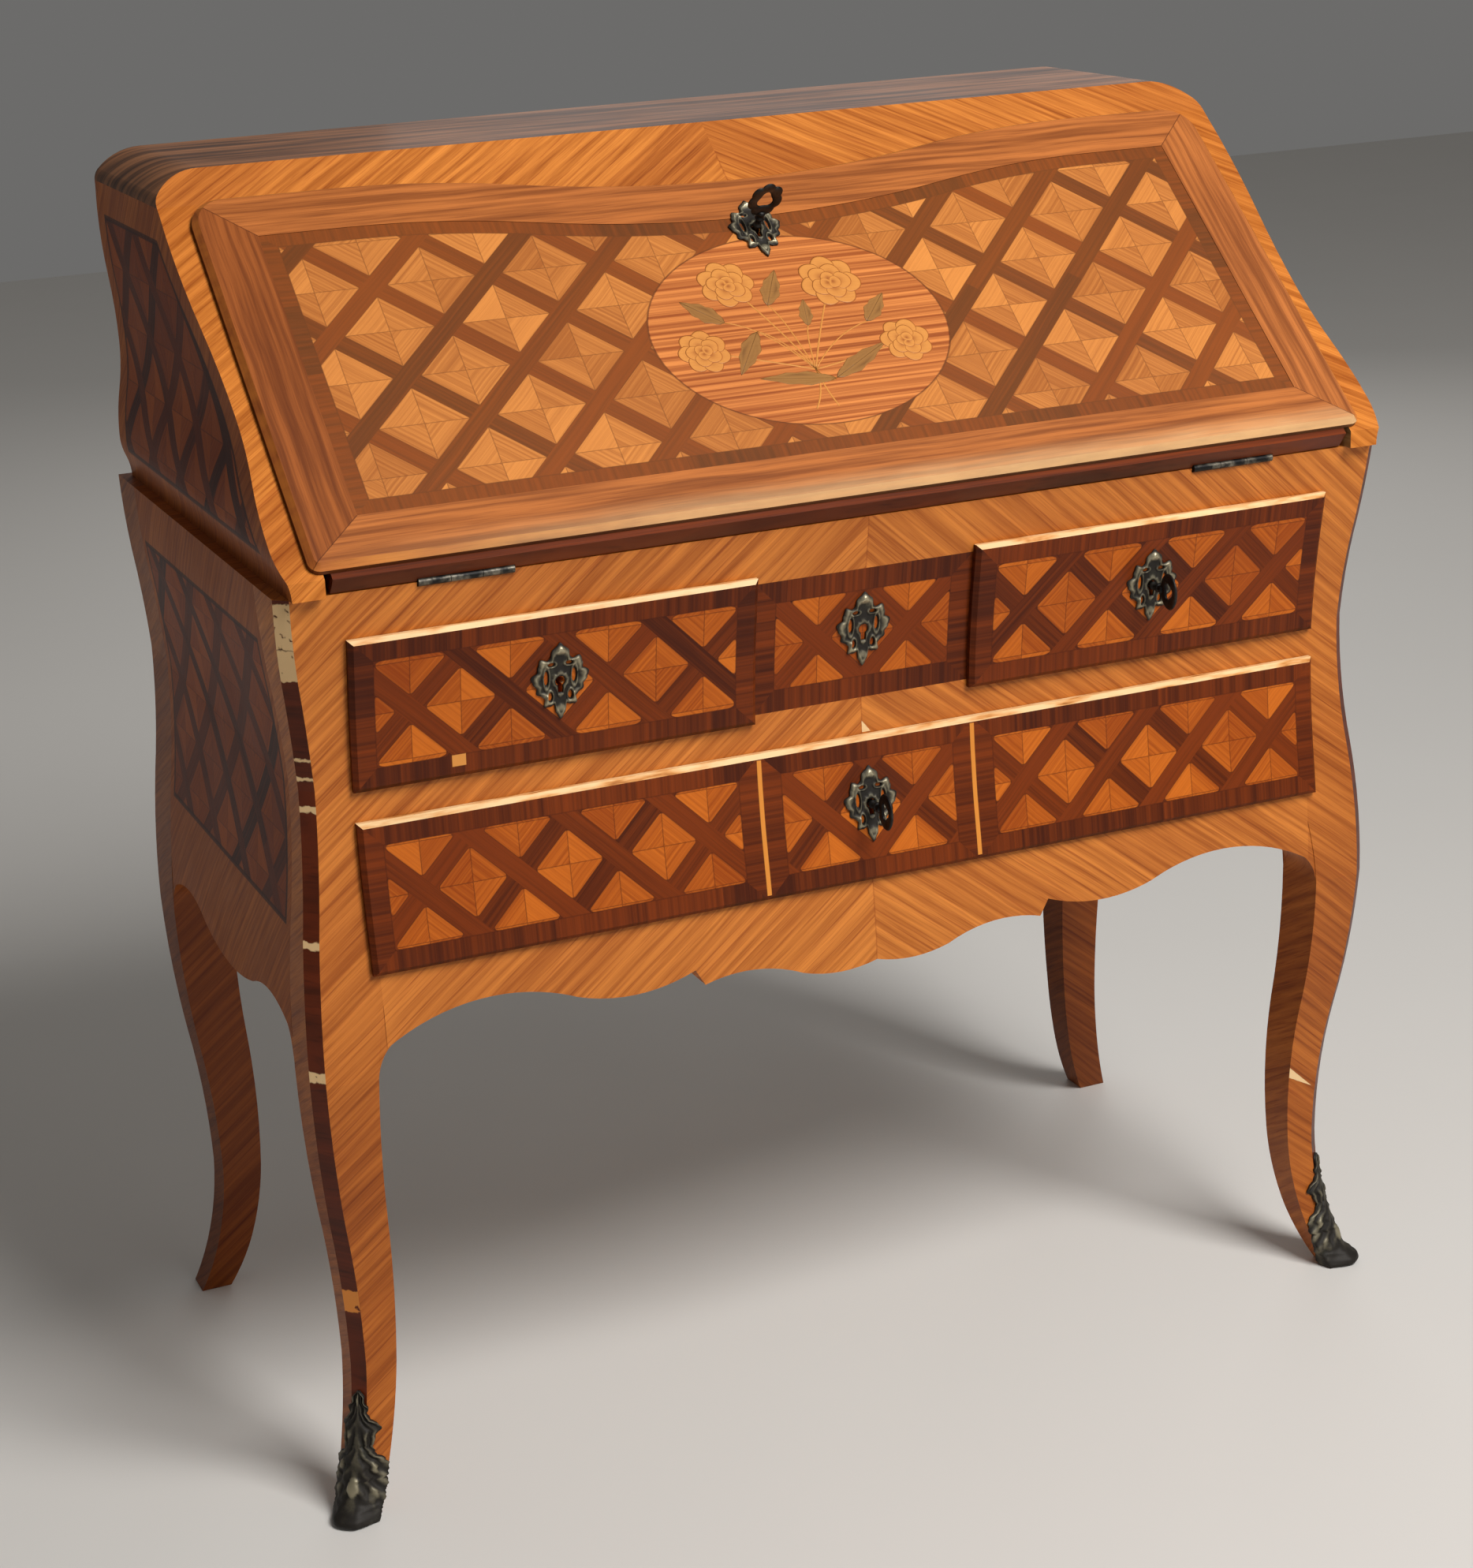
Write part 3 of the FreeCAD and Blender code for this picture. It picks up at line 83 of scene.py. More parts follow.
# Studio: the floor's reach and depth, the world's light, and lamps as (name, place, aim, width, power)
FLOOR_REACH = 6.0
FLOOR_BELOW = 0.0004
WORLD_COLOUR = (1.0, 0.985, 0.96, 1.0)
WORLD_STRENGTH = 0.15
LAMPS = (
    ("key light", (0.85, -2.35, 3.1), (0.0, 0.0, 0.55), 1.5, 150),
    ("front light", (0.9, -3.4, 1.2), (0.0, 0.0, 0.5), 1.8, 7),
    ("back light", (1.6, 2.9, 1.9), (0.0, 0.0, 0.5), 2.0, 14),
)


def span(node, way, origin=Vector((0, 0, 0))):
    """Least and greatest reach of a frame node along a direction."""
    reach = [(v.co - origin).dot(way) for v in NODES[node].data.vertices]
    return min(reach), max(reach)


# Fall's field and frame, measured on their solids
FIELD_FOOT, FIELD_HEAD = span("fall_field", FALL_UP, FALL_KEY)
FIELD_SIDE = span("fall_field", RIGHT)[1]
FIELD_FACE = span("fall_field", FALL_OUT, FALL_KEY)[1]
FRAME_SIDE = span("fall_frame", RIGHT)[1] - FIELD_SIDE
FRAME_FOOT = FIELD_FOOT - span("fall_frame", FALL_UP, FALL_KEY)[0]
FRAME_HEAD = span("fall_frame", FALL_UP, FALL_KEY)[1] - FIELD_HEAD

# Wave of the fall's head: where it leaves the straight, where it turns, its two radii and its dip
WAVE_START = 0.300
WAVE_TURN = 0.165
WAVE_FLANK = 0.705
WAVE_CREST = 0.8617
WAVE_DROP = 0.029

# Side fields: plain borders of the lower sides, and one lozenge of the upper sides
SIDE_FIELD_FOOT = 0.086
SIDE_FIELD_HEAD = 0.042
SIDE_FIELD_END = 0.012
UPPER_LOZENGE_Y = 0.035
UPPER_LOZENGE_Z = 0.780

# Width of the figure in each wood, and how far its lines wander
GRAIN_TULIP = 0.0046
GRAIN_THIN = 0.0021
GRAIN_FRAME = 0.0056
GRAIN_BAND = 0.0042
GRAIN_GROUND = 0.0042
GRAIN_STRIP = 0.003
GRAIN_CANT = 0.003
GRAIN_LOZENGE = 0.0026
GRAIN_INLAY = 0.002
GRAIN_TOP = 0.013
GRAIN_WALNUT = 0.011
GRAIN_OAK = 0.008
GRAIN_CORE = 0.006
GRAIN_WANDER = 0.006

# Depth of the pores of polished and of plainer wood
PORES = 0.00012
DEEP_PORES = 0.00018

# Leaves of veneer: width of tulipwood, length of crossbanding; size of slow changes of tone
TULIP_LEAF = 0.047
BAND_LEAF = 0.061
TONE_SIZE = 0.12
LEATHER_TONE_SIZE = 0.09

# Thin lines between veneers, as half width and where their soft edge ends
QUARTER_LINE = (0.0001, 0.0006)
STRIP_LINE = (0.0001, 0.0007)
BAND_LINE = (0.0002, 0.0008)
JOIN_LINE = (0.0002, 0.0009)
SIDE_LINE = (0.0016, 0.0024)

# Darkening colours: clouds of tone, foot of the legs, left of the fall's frame; painted shade on the rear
# legs and the sides
CLOUD_DYE = (0.62, 0.5, 0.42)
LOW_LEG_DARKER = (0.64, 0.52, 0.42)
REAR_LEG_PAINTED_SHADE = (0.5, 0.42, 0.36)
FRAME_LEFT_DARKER = (0.6, 0.5, 0.42)
SIDE_PAINTED_SHADE = (0.76, 0.66, 0.62)

# Where these start and end: height up the legs, depth from front to back of the painted shade on rear legs,
# and height of bare wood's tone
LEG_PALER = (0.25, 0.55)
LEG_REAR = (0.0, 0.12)
LEG_BARE = (0.25, 0.33)

# Chips lost from the left canted corner, as (height, half length)
CANT_CHIPS = (
    (0.6805, 0.0165), (0.6525, 0.0110), (0.5826, 0.0009), (0.5690, 0.0012),
    (0.5470, 0.0024), (0.4520, 0.0026), (0.3576, 0.0038), (0.1690, 0.0090),
)

# Veneer lost from the front: a sliver of the right leg, as two ends and a half width, a three-cornered chip
# beside the joint of the middle rail, as its width, foot and height, and the soft edges of both
LEG_SLIVER = ((0.3815, 0.1762), (0.4035, 0.1604), 0.0036)
RAIL_CHIP = (0.0068, 0.5345, 0.0085)
LOST_EDGE = (-0.0002, 0.0002)

# Rounding of the lozenges' corners on the drawers and elsewhere, painted sheen that pales the fall's field,
# and the repair in the upper left drawer's crossband
LOZENGE_ROUND = 0.0032
FIELD_ROUND = 0.0005
FALL_PAINTED_SHEEN = 0.12
PATCH_AT = (-0.309, 0.568)
PATCH_SIZE = (0.0050, 0.0042)

# Gilt lines: their distances from the edge of the leather, and each one's half width and soft edge
GILT_IN = 0.012
GILT_NEXT = 0.016
GILT_WIDE = (0.0006, 0.0010)
GILT_THIN = (0.0002, 0.0005)

# Key plate: half of its outline as (degrees above level, radius), bosses as (across, up, radius, height),
# piercings as (across, up, half width, half height), where the wood's face is taken, how far its edges sink
# into the wood, its thickness, its rims as (share, width, height), the heights of its flutes and of the
# edges of its piercings, the height of its rubbed crests, and the size of the fall's plate beside the others
PLATE_OUTLINE = (
    (-90, 0.0285), (-83, 0.0240), (-75, 0.0175), (-67, 0.0198), (-57, 0.0215), (-47, 0.0165), (-36, 0.0168),
    (-24, 0.0190), (-12, 0.0175), (0, 0.0198), (13, 0.0218), (26, 0.0185), (38, 0.0205), (50, 0.0226),
    (60, 0.0182), (68, 0.0190), (76, 0.0240), (83, 0.0255), (90, 0.0285),
)
PLATE_BOSSES = (
    (0.0, 0.0225, 0.0036, 0.0020), (0.0, -0.0195, 0.0032, 0.0012), (0.0168, 0.0045, 0.0034, 0.0010),
    (0.0122, 0.0148, 0.0036, 0.0010), (0.0110, -0.0148, 0.0034, 0.0010),
)
PLATE_HOLES = (
    (0.0102, 0.0032, 0.0015, 0.0052), (0.0066, 0.0130, 0.0024, 0.0014), (0.0074, -0.0110, 0.0015, 0.0030),
)
PLATE_ASIDE = 0.012
PLATE_SUNK = 0.0006
PLATE_THICK = 0.0011
PLATE_RIMS = ((0.10, 0.08, 0.0011), (0.84, 0.10, 0.0010))
PLATE_FLUTE = 0.0004
PLATE_HOLE_RIM = 0.0012
PLATE_CREST = 0.0040
FALL_PLATE_SCALE = 0.97

# Keyhole: its round end, and half the width and the depth of its slot
HOLE_ROUND = 0.0036
HOLE_SLOT = 0.0019
HOLE_DEEP = 0.0085

# Key: its bow, with its lobes and piercing as shares of its radius, and its neck and middle in radii; its tip
# as (distance from the end, radius), its shank as (distance from the neck, radius), its bit as half a
# thickness and two depths, and the bit's two ends
KEY_BOW_R = 0.0110
KEY_BOW_WIDE = 1.25
KEY_BOW_THICK = 0.0015
KEY_LOBE = 0.16
KEY_PIERCE = 0.40
KEY_PIERCE_LOBE = 0.07
KEY_NECK = 1.86
KEY_MIDDLE = 0.86
KEY_TIP = ((0.0, 0.0022), (0.0004, 0.0024))
FALL_BOW_TALL = 1.5
FALL_BOW_LOBES = 7
KEY_SHANK = (
    (-0.0135, 0.0024), (-0.0132, 0.0030), (-0.0120, 0.0033), (-0.0108, 0.0030), (-0.0104, 0.0023),
    (-0.0062, 0.0021), (-0.0058, 0.0029), (-0.0046, 0.0037), (-0.0034, 0.0029), (-0.0030, 0.0022),
    (-0.0016, 0.0024), (-0.0006, 0.0032), (0.0008, 0.0034), (0.0022, 0.0022),
)
KEY_BIT = (0.0009, 0.0015, 0.0058)
KEY_BIT_ENDS = (0.0008, 0.0038)
BLOCK_FACES = ((0, 1, 2, 3), (7, 6, 5, 4), (0, 4, 5, 1), (1, 5, 6, 2), (2, 6, 7, 3), (3, 7, 4, 0))

# Shoe, by share of its height: degrees that it wraps each side of the corner, its rounding, its toe's bulge;
# its buds as (aside, share, radius, height), its growth over its solid, the height of its rubbed crests,
# its lowest place on the leg, how far it sinks into the leg, how far off the leg's face is looked for,
# and its thickness with the heights of its rib, its veins and its hem
SHOE_SPREAD = (
    (0.0, 104), (0.12, 102), (0.30, 96), (0.38, 92), (0.45, 82), (0.51, 54), (0.57, 44), (0.63, 54),
    (0.69, 64), (0.73, 56), (0.78, 32), (0.83, 24), (0.87, 27), (0.91, 15), (0.95, 17), (1.0, 4),
)
SHOE_ROUND = ((0.0, 0.35), (0.10, 0.30), (0.22, 0.05), (0.5, 0.0), (1.0, 0.0))
SHOE_TOE = (
    (0.0, 0.0030), (0.03, 0.0085), (0.06, 0.0090), (0.10, 0.0060),
    (0.15, 0.0016), (0.22, 0.0004), (0.36, 0.0014), (1.0, 0.0004),
)
SHOE_BUDS = (
    (0.0, 0.93, 0.05, 0.0016), (0.0, 0.27, 0.075, 0.0026), (0.62, 0.40, 0.055, 0.0018),
    (0.55, 0.20, 0.060, 0.0016), (0.45, 0.66, 0.045, 0.0014),
)
SHOE_GROWN = 1.10
SHOE_CREST = 0.0052
SHOE_LOWEST = 0.0006
SHOE_SUNK = 0.0004
LEG_FAR = 0.12
SHOE_THICK = 0.0014
SHOE_RIB = 0.0013
SHOE_VEIN = 0.0009
SHOE_HEM = 0.0010

# Knee blocks: their reach down the leg and along the board, their bend, their top, how shy they stand,
# and where the faces of the board and of the leg are taken
KNEE_DROP = 0.030
KNEE_REACH = 0.018
KNEE_BEND = 0.002
KNEE_TOP = (0.004, 0.038)
KNEE_SHY = 0.0002
KNEE_BEHIND = 0.006
KNEE_BESIDE = 0.012

# Bouquet on the fall: a place is metres across + metres up from the foot of the field, times 1j;
# roses as (place, radius), leaves as (root, tip, half width), rings of petals as (count, reach, size, level)
BOUQUET_TIE = -0.0025 + 0.073j
BOUQUET_TAILS = (-0.015 + 0.038j, 0.0025 + 0.038j)
ROSES = (
    (-0.0415 + 0.1595j, 0.0215), (0.0385 + 0.152j, 0.0238),
    (-0.080 + 0.1005j, 0.0195), (0.076 + 0.0895j, 0.0198),
)
LEAVES = (
    (-0.055 + 0.124j, -0.0825 + 0.148j, 0.0075), (-0.0175 + 0.1355j, 0.168j, 0.0070),
    (0.0065 + 0.113j, 0.0115 + 0.138j, 0.0050), (0.0525 + 0.1105j, 0.075 + 0.1355j, 0.0065),
    (-0.034 + 0.113j, -0.060 + 0.0755j, 0.0070), (0.010 + 0.063j, -0.0475 + 0.0705j, 0.0060),
    (0.010 + 0.063j, 0.060 + 0.0905j, 0.0065),
)
ROSE_RINGS = ((7, 0.68, 0.40, 0.00006), (5, 0.42, 0.34, 0.00013), (3, 0.17, 0.24, 0.00020))
PETAL_SQUASH = 0.82
PETAL_STEP = 0.000006
LEAF_LEVEL = 0.00006
STEM_LEVEL = 0.00004
STEM_WIDE = 0.0013
STALK_WIDE = 0.0010
INLAY_SUNK = 0.0002


def tone(red, green, blue):
    """Linear colour from the everyday 0 to 255 scale."""
    return tuple(((c / 255 + 0.055) / 1.055) ** 2.4 for c in (red, green, blue))


def colour(name, description, *shade):
    """A colour that a user may change, given on the 0 to 255 scale."""
    return FloatVectorProperty(
        name=name, description=description, subtype="COLOR", size=3, min=0, max=1, default=tone(*shade)
    )


def length(name, description, default):
    """A size that a user may change, in metres."""
    return FloatProperty(
        name=name, description=description, unit="LENGTH", min=0, default=default, precision=4
    )


class DeskColours(bpy.types.PropertyGroup):
    """Timbers, metals and leather of the desk."""

    tulip_pale: colour("Tulipwood, pale", "Pale streaks of the diagonal veneer", 220, 136, 58)
    tulip_deep: colour("Tulipwood, deep", "Deep streaks of the diagonal veneer", 160, 86, 28)
    lozenge_pale: colour("Lozenge, pale", "Palest quarters of the parquetry lozenges", 198, 104, 28)
    lozenge_deep: colour("Lozenge, deep", "Deepest quarters of the parquetry lozenges", 140, 60, 10)
    strip_pale: colour("Lattice strip, pale", "Pale streaks of the lattice and crossbanding", 118, 49, 9)
    strip_deep: colour("Lattice strip, deep", "Deep streaks of the lattice and crossbanding", 64, 23, 4)
    fall_pale: colour("Fall lozenge, pale", "Palest quarters of the fall's lozenges", 222, 142, 68)
    fall_deep: colour("Fall lozenge, deep", "Deepest quarters of the fall's lozenges", 154, 84, 34)
    frame_pale: colour("Fall frame, pale", "Pale streaks of the fall's frame", 186, 109, 52)
    frame_deep: colour("Fall frame, deep", "Deep streaks of the fall's frame", 132, 71, 31)
    ground_pale: colour("Medallion, pale", "Pale streaks of the medallion", 214, 131, 66)
    ground_deep: colour("Medallion, deep", "Deep streaks of the medallion", 150, 76, 32)
    petal: colour("Petals", "Pale wood of the roses", 208, 138, 66)
    scorch: colour("Scorched shading", "Sand-scorched edge of petals and leaves", 150, 80, 32)
    leaf: colour("Leaves", "Stained wood of the leaves", 152, 106, 54)
    leaf_deep: colour("Leaves, deep", "Darker half of each leaf", 118, 78, 38)
    stringing: colour("Stringing", "Pale lines on the lower drawer", 212, 134, 54)
    cant: colour("Canted corners", "Dark red veneer on the canted corners", 104, 40, 12)
    # Also the colour of the painted glare and highlights on the fall's foot and on the drawers' lips.
    bare_and_glare: colour("Bare wood and painted glare", "Wood where veneer and polish are lost", 230, 194, 142)
    walnut_pale: colour("Walnut, pale", "Pale figure of the top", 144, 94, 58)
    walnut_deep: colour("Walnut, deep", "Deep figure of the top", 70, 42, 25)
    oak_pale: colour("Oak, pale", "Pale grain of the carcase", 188, 146, 96)
    oak_deep: colour("Oak, deep", "Deep grain of the carcase", 136, 96, 56)
    bronze_dark: colour("Bronze, patina", "Dark patina in the hollows of the castings", 32, 27, 21)
    bronze_green: colour("Bronze, green", "Green bloom on the patina", 70, 74, 58)
    bronze_rubbed: colour("Bronze, rubbed", "Rubbed high places of the castings", 168, 158, 130)
    steel_dark: colour("Steel", "Darkened steel of locks and keys", 14, 13, 12)
    steel_rubbed: colour("Steel, rubbed", "Rubbed places of the keys", 58, 54, 49)
    hinge_rubbed: colour("Hinge, rubbed", "Rubbed places of the hinges and locks", 132, 124, 108)
    leather: colour("Leather", "Writing leather", 62, 74, 44)
    gilt: colour("Gilt line", "Tooled line on the leather", 196, 158, 84)
    floor: colour("Floor", "Plain pale floor", 214, 210, 204)


class DeskSizes(bpy.types.PropertyGroup):
    """Sizes of the inlaid patterns and eased edges."""

    front_pitch: length("Drawer lattice", "Distance between crossings on the drawers", 0.0715)
    fall_pitch: length("Fall lattice, across", "Distance between crossings across the fall", 0.085)
    fall_rise: length("Fall lattice, up", "Distance between crossings up the fall", 0.083)
    fall_start: length("Fall lattice, first row", "Middle of the first row above the field's foot", 0.027)
    side_pitch: length("Side lattice", "Distance between crossings on the sides", 0.083)
    side_rise: length("Upper side lattice, up", "Distance between crossings up the upper sides", 0.087)
    side_band: length("Upper side border", "Width of the plain border of the upper sides", 0.025)
    strip: length("Lattice strip", "Width of a lattice strip", 0.0142)
    drawer_band: length("Drawer crossband", "Width of the crossbanding on the drawers", 0.0165)
    fall_band: length("Fall crossband", "Width of the crossbanding on the fall", 0.0115)
    line: length("Stringing", "Width of the pale lines", 0.0034)
    ease: length("Eased edge", "Width of the softened edges of the woodwork", 0.0012)
    medallion_up: length("Medallion, middle", "Height of the oval's middle above the field's foot", 0.1115)
    medallion_wide: length("Medallion, half width", "Half width of the oval", 0.1155)
    medallion_high: length("Medallion, half height", "Half height of the oval", 0.0885)


class Field:
    """A number that varies over a surface: a shader socket that takes part in sums."""

    def __init__(self, finish, socket):
        self.finish = finish
        self.socket = socket

    def __add__(self, other):
        return self.finish.math("ADD", self, other)

    __radd__ = __add__

    def __sub__(self, other):
        return self.finish.math("SUBTRACT", self, other)

    def __rsub__(self, other):
        return self.finish.math("SUBTRACT", other, self)

    def __mul__(self, other):
        return self.finish.math("MULTIPLY", self, other)

    __rmul__ = __mul__

    def __truediv__(self, other):
        return self.finish.math("DIVIDE", self, other)

    def __neg__(self):
        return self * -1

    def __abs__(self):
        return self.finish.math("ABSOLUTE", self)

    def floor(self):
        """Greatest whole number that isn't above this."""
        return self.finish.math("FLOOR", self)

    def least(self, other):
        """The lesser of two numbers."""
        return self.finish.math("MINIMUM", self, other)

    def most(self, other):
        """The greater of two numbers."""
        return self.finish.math("MAXIMUM", self, other)

    def over(self, edge):
        """1 above the edge and 0 below it."""
        return self.finish.math("GREATER_THAN", self, edge)

    def rise(self, low, high):
        """Smooth step from 0 at low to 1 at high."""
        settings = {"interpolation_type": "SMOOTHSTEP"}
        inputs = {"Value": self, "From Min": low, "From Max": high}
        return Field(self.finish, self.finish.node("ShaderNodeMapRange", settings, inputs).outputs["Result"])

    def line(self, low, high):
        """1 where this is within low of 0, fading to 0 at high."""
        return 1 - abs(self).rise(low, high)

    def choose(self, first, second):
        """first where this is 0 and second where it is 1."""
        return first + self * (second - first)


class Finish:
    """One material: a Principled surface and the nodes that feed it."""

    def __init__(self, name, **constants):
        self.material = bpy.data.materials.new(name)
        self.material.use_nodes = True
        self.tree = self.material.node_tree
        self.surface = self.tree.nodes["Principled BSDF"]
        self.show(**constants)

    def feed(self, node, inputs):
        """Set or link a node's sockets."""
        for name, value in inputs.items():
            socket = next((s for s in node.inputs if s.identifier == name), None) or node.inputs[name]
            if isinstance(value, Field):
                self.tree.links.new(value.socket, socket)
            elif isinstance(value, bpy.types.NodeSocket):
                self.tree.links.new(value, socket)
            elif socket.type == "RGBA" and len(value) == 3:
                socket.default_value = (*value, 1.0)
            else:
                socket.default_value = value

    def show(self, **inputs):
        """Set or link the surface's own sockets."""
        self.feed(self.surface, {name.replace("_", " "): value for name, value in inputs.items()})

    def node(self, kind, settings=None, inputs=None):
        """A node with its settings made first and its sockets set or linked after."""
        made = self.tree.nodes.new(kind)
        for name, value in (settings or {}).items():
            setattr(made, name, value)
        self.feed(made, inputs or {})
        return made

    def math(self, operation, *terms):
        """One sum on numbers."""
        inputs = dict(zip(("Value", "Value_001"), terms))
        return Field(self, self.node("ShaderNodeMath", {"operation": operation}, inputs).outputs[0])

    def vector(self, x, y, z):
        """Three numbers as one place."""
        return self.node("ShaderNodeCombineXYZ", None, {"X": x, "Y": y, "Z": z}).outputs[0]

    def parts(self, socket):
        """A place as three numbers."""
        split = self.node("ShaderNodeSeparateXYZ", None, {"Vector": socket})
        return [Field(self, output) for output in split.outputs]

    def where(self):
        """Place on the piece at rest, as three numbers."""
        return self.parts(self.node("ShaderNodeTexCoord").outputs["Object"])

    def facing(self):
        """Direction that the surface faces, as three numbers."""
        return self.parts(self.node("ShaderNodeTexCoord").outputs["Normal"])

    def attribute(self, name):
        """A number kept with the mesh's points."""
        return Field(self, self.node("ShaderNodeAttribute", {"attribute_name": name}).outputs["Fac"])

    def mix(self, share, first, second, blend="MIX"):
        """Colour between two colours."""
        settings = {"data_type": "RGBA", "blend_type": blend}
        inputs = {"Factor_Float": share, "A_Color": first, "B_Color": second}
        made = self.node("ShaderNodeMix", settings, inputs)
        return next(s for s in made.outputs if s.identifier == "Result_Color")

    def deepen(self, share, shade, darker_colour):
        """A colour deepened by multiplying it with a darker one."""
        return self.mix(share, shade, darker_colour, "MULTIPLY")

    def lay(self, share, under, over):
        """One veneer over another, each a colour and a grain."""
        return self.mix(share, under[0], over[0]), share.choose(under[1], over[1])

    def noise(self, place, detail=3.0, rough=0.55):
        """Soft noise at a place that is already scaled."""
        inputs = {"Vector": place, "Scale": 1.0, "Detail": detail, "Roughness": rough}
        return Field(self, self.node("ShaderNodeTexNoise", None, inputs).outputs[0])

    def speck(self, place, scale, detail=3.0, rough=0.55):
        """Soft noise with so many specks to a metre."""
        return self.noise(self.vector(*(number * scale for number in place)), detail, rough)

    def chance(self, x, y, z):
        """An even random number for each place."""
        settings = {"noise_dimensions": "3D"}
        made = self.node("ShaderNodeTexWhiteNoise", settings, {"Vector": self.vector(x, y, z)})
        return Field(self, made.outputs["Value"])

    def bump(self, height, distance, strength):
        """Relief too fine to model."""
        inputs = {"Height": height, "Distance": distance, "Strength": strength}
        self.show(Normal=self.node("ShaderNodeBump", None, inputs).outputs[0])


def colours():
    return bpy.context.scene.desk_colours


def sizes():
    return bpy.context.scene.desk_sizes


def dress(names, finish):
    """Give frame nodes a finish."""
    for name in names:
        slots = NODES[name].data.materials
        slots.clear()
        slots.append(finish.material)


def soften(names, width, segments=2, angle=35):
    """Ease the sharp edges of frame nodes."""
    for name in names:
        ease = NODES[name].modifiers.new("eased edges", "BEVEL")
        ease.width = width
        ease.segments = segments
        ease.limit_method = "ANGLE"
        ease.angle_limit = math.radians(angle)
        ease.use_clamp_overlap = True


def named(*starts):
    """Frame nodes whose names start so."""
    return sorted(n for n in NODES if n.startswith(starts))


def polished(name, **extra):
    """A new french-polished finish."""
    constants = {"Coat_Weight": 0.05, "Coat_Roughness": 0.14, "Specular_IOR_Level": 0.18}
    return Finish(name, **{**constants, **extra})


def varnish(finish, place, shade, grain, rough=(0.3, 0.14, 0.14), depth=PORES):
    """Give a wood its colour, sheen and pores; rough is a base, and its gains from grain and tone."""
    slow = finish.speck(place, 1 / TONE_SIZE, 2.0, 0.5)
    base, by_grain, by_tone = rough
    finish.show(
        Base_Color=finish.deepen(slow.rise(0.3, 0.75) * 0.26, shade, CLOUD_DYE),
        Roughness=base + grain * by_grain + slow * by_tone,
    )
    finish.bump(grain, depth, 0.6)
    return finish


def streaks(finish, along, across, third, wide, seed):
    """Broad and fine figure of straight-grained wood, each from 0 to 1."""
    wander = finish.noise(finish.vector(along * 9, across * 9, third * 9 + seed), 1.0) - 0.5
    across = across + wander * GRAIN_WANDER
    broad = finish.noise(finish.vector(along * 5, across / wide, third * 12 + seed), 3.0, 0.6)
    fine = finish.noise(finish.vector(along * 30, across / wide * 6.5, third * 60 + seed), 2.0, 0.6)
    return broad, fine


def plank(finish, along, across, third, pale, deep, wide, seed, contrast=1.0):
    """Straight-grained wood: colour, and its pores as grain."""
    broad, fine = streaks(finish, along, across, third, wide, seed)
    spread = 0.28 / contrast
    shade = finish.mix(broad.rise(0.5 - spread, 0.5 + spread), deep, pale)
    return finish.deepen(fine.rise(0.52, 0.78) * 0.42, shade, deep), fine


def plain_wood(name, pale, deep, run, wide, seed, rough=0.45, contrast=1.0):
    """Straight-grained wood whose grain runs along one of the desk's directions."""
    finish = polished(name, Coat_Weight=0.1)
    place = finish.where()
    third = place[(run + 2) % 3]
    across = place[(run + 1) % 3] + third
    shade, grain = plank(finish, place[run], across, third, pale, deep, wide, seed, contrast)
    return varnish(finish, place, shade, grain, (rough - 0.13, 0.16, 0.1), DEEP_PORES)


def lozenges(finish, a, b, cell_u, cell_v, pitch, seed, pale, deep):
    """Lozenges in four quarters, grained round their middles: colour and grain."""
    size_a = abs(a)
    size_b = abs(b)
    right = (a + b).over(0)
    top = (a - b).over(0)
    quarter = finish.chance(cell_u + right * 0.31, cell_v + top * 0.17, seed + 0.5)
    cell = finish.chance(cell_u, cell_v, seed + 9.5)
    crossed = abs(right - top)
    along = size_a.least(size_b) * pitch
    broad, fine = streaks(finish, along, size_a.most(size_b) * pitch, quarter * 7, GRAIN_LOZENGE, seed)
    # Tone varies at random by lozenge and quarter; opposite quarters also differ, a painted sheen standing
    # for the chatoyance of quartered grain.
    tone_and_sheen = 0.40 * cell + 0.20 * quarter + 0.30 * (crossed - 0.5) * (cell * 1.8 - 0.5) + 0.20
    tone_and_sheen = tone_and_sheen + (broad - 0.5) * 1.25 + (fine - 0.5) * 0.4
    shade = finish.mix(tone_and_sheen.rise(0.0, 1.0), deep, pale)
    shade = finish.deepen(fine.rise(0.5, 0.8) * 0.3, shade, deep)
    seam = abs(a + b).least(abs(a - b)) * (pitch / 2)
    return finish.mix(seam.line(*QUARTER_LINE) * 0.55, shade, colours().strip_deep), fine


def lattice(finish, across, up, pitch, rise, seed, pale, deep, inside, corner):
    """Lozenges in a lattice of dark strips, with rounded corners, inside a border: colour and grain."""
    shades = colours()
    u = across / pitch + up / rise
    v = across / pitch - up / rise
    cell_u = (u + 0.5).floor()
    cell_v = (v + 0.5).floor()
    a = u - cell_u
    b = v - cell_v
    scale = pitch / math.sqrt(2)
    edge = 0.5 - sizes().strip / scale / 2
    second = abs(b).over(edge)
    strip = second.choose(u.floor(), v.floor() + 0.37)
    chosen = finish.chance(strip, second * 3.3, seed + 4.5)
    along = second.choose(v, u) * pitch
    strip_across = second.choose(a, b) * pitch
    dark, dark_fine = streaks(finish, along, strip_across, chosen * 11, GRAIN_STRIP, seed + 2)
    depth = (dark - 0.5) * 1.2 + chosen * 0.6 + 0.22
    band = finish.mix(depth.rise(0.0, 1.0), shades.strip_deep, shades.strip_pale)
    miss = 0
    for gap in ((edge - abs(a)) * scale, (edge - abs(b)) * scale, inside):
        short = (corner - gap).most(0)
        miss = short * short + miss
    margin = corner - finish.math("SQRT", miss)
    field = lozenges(finish, a, b, cell_u, cell_v, pitch, seed, pale, deep)
    shade, grain = finish.lay(1 - margin.over(0), field, (band, dark_fine))
    return finish.mix(margin.line(*STRIP_LINE) * 0.5, shade, shades.strip_deep), grain


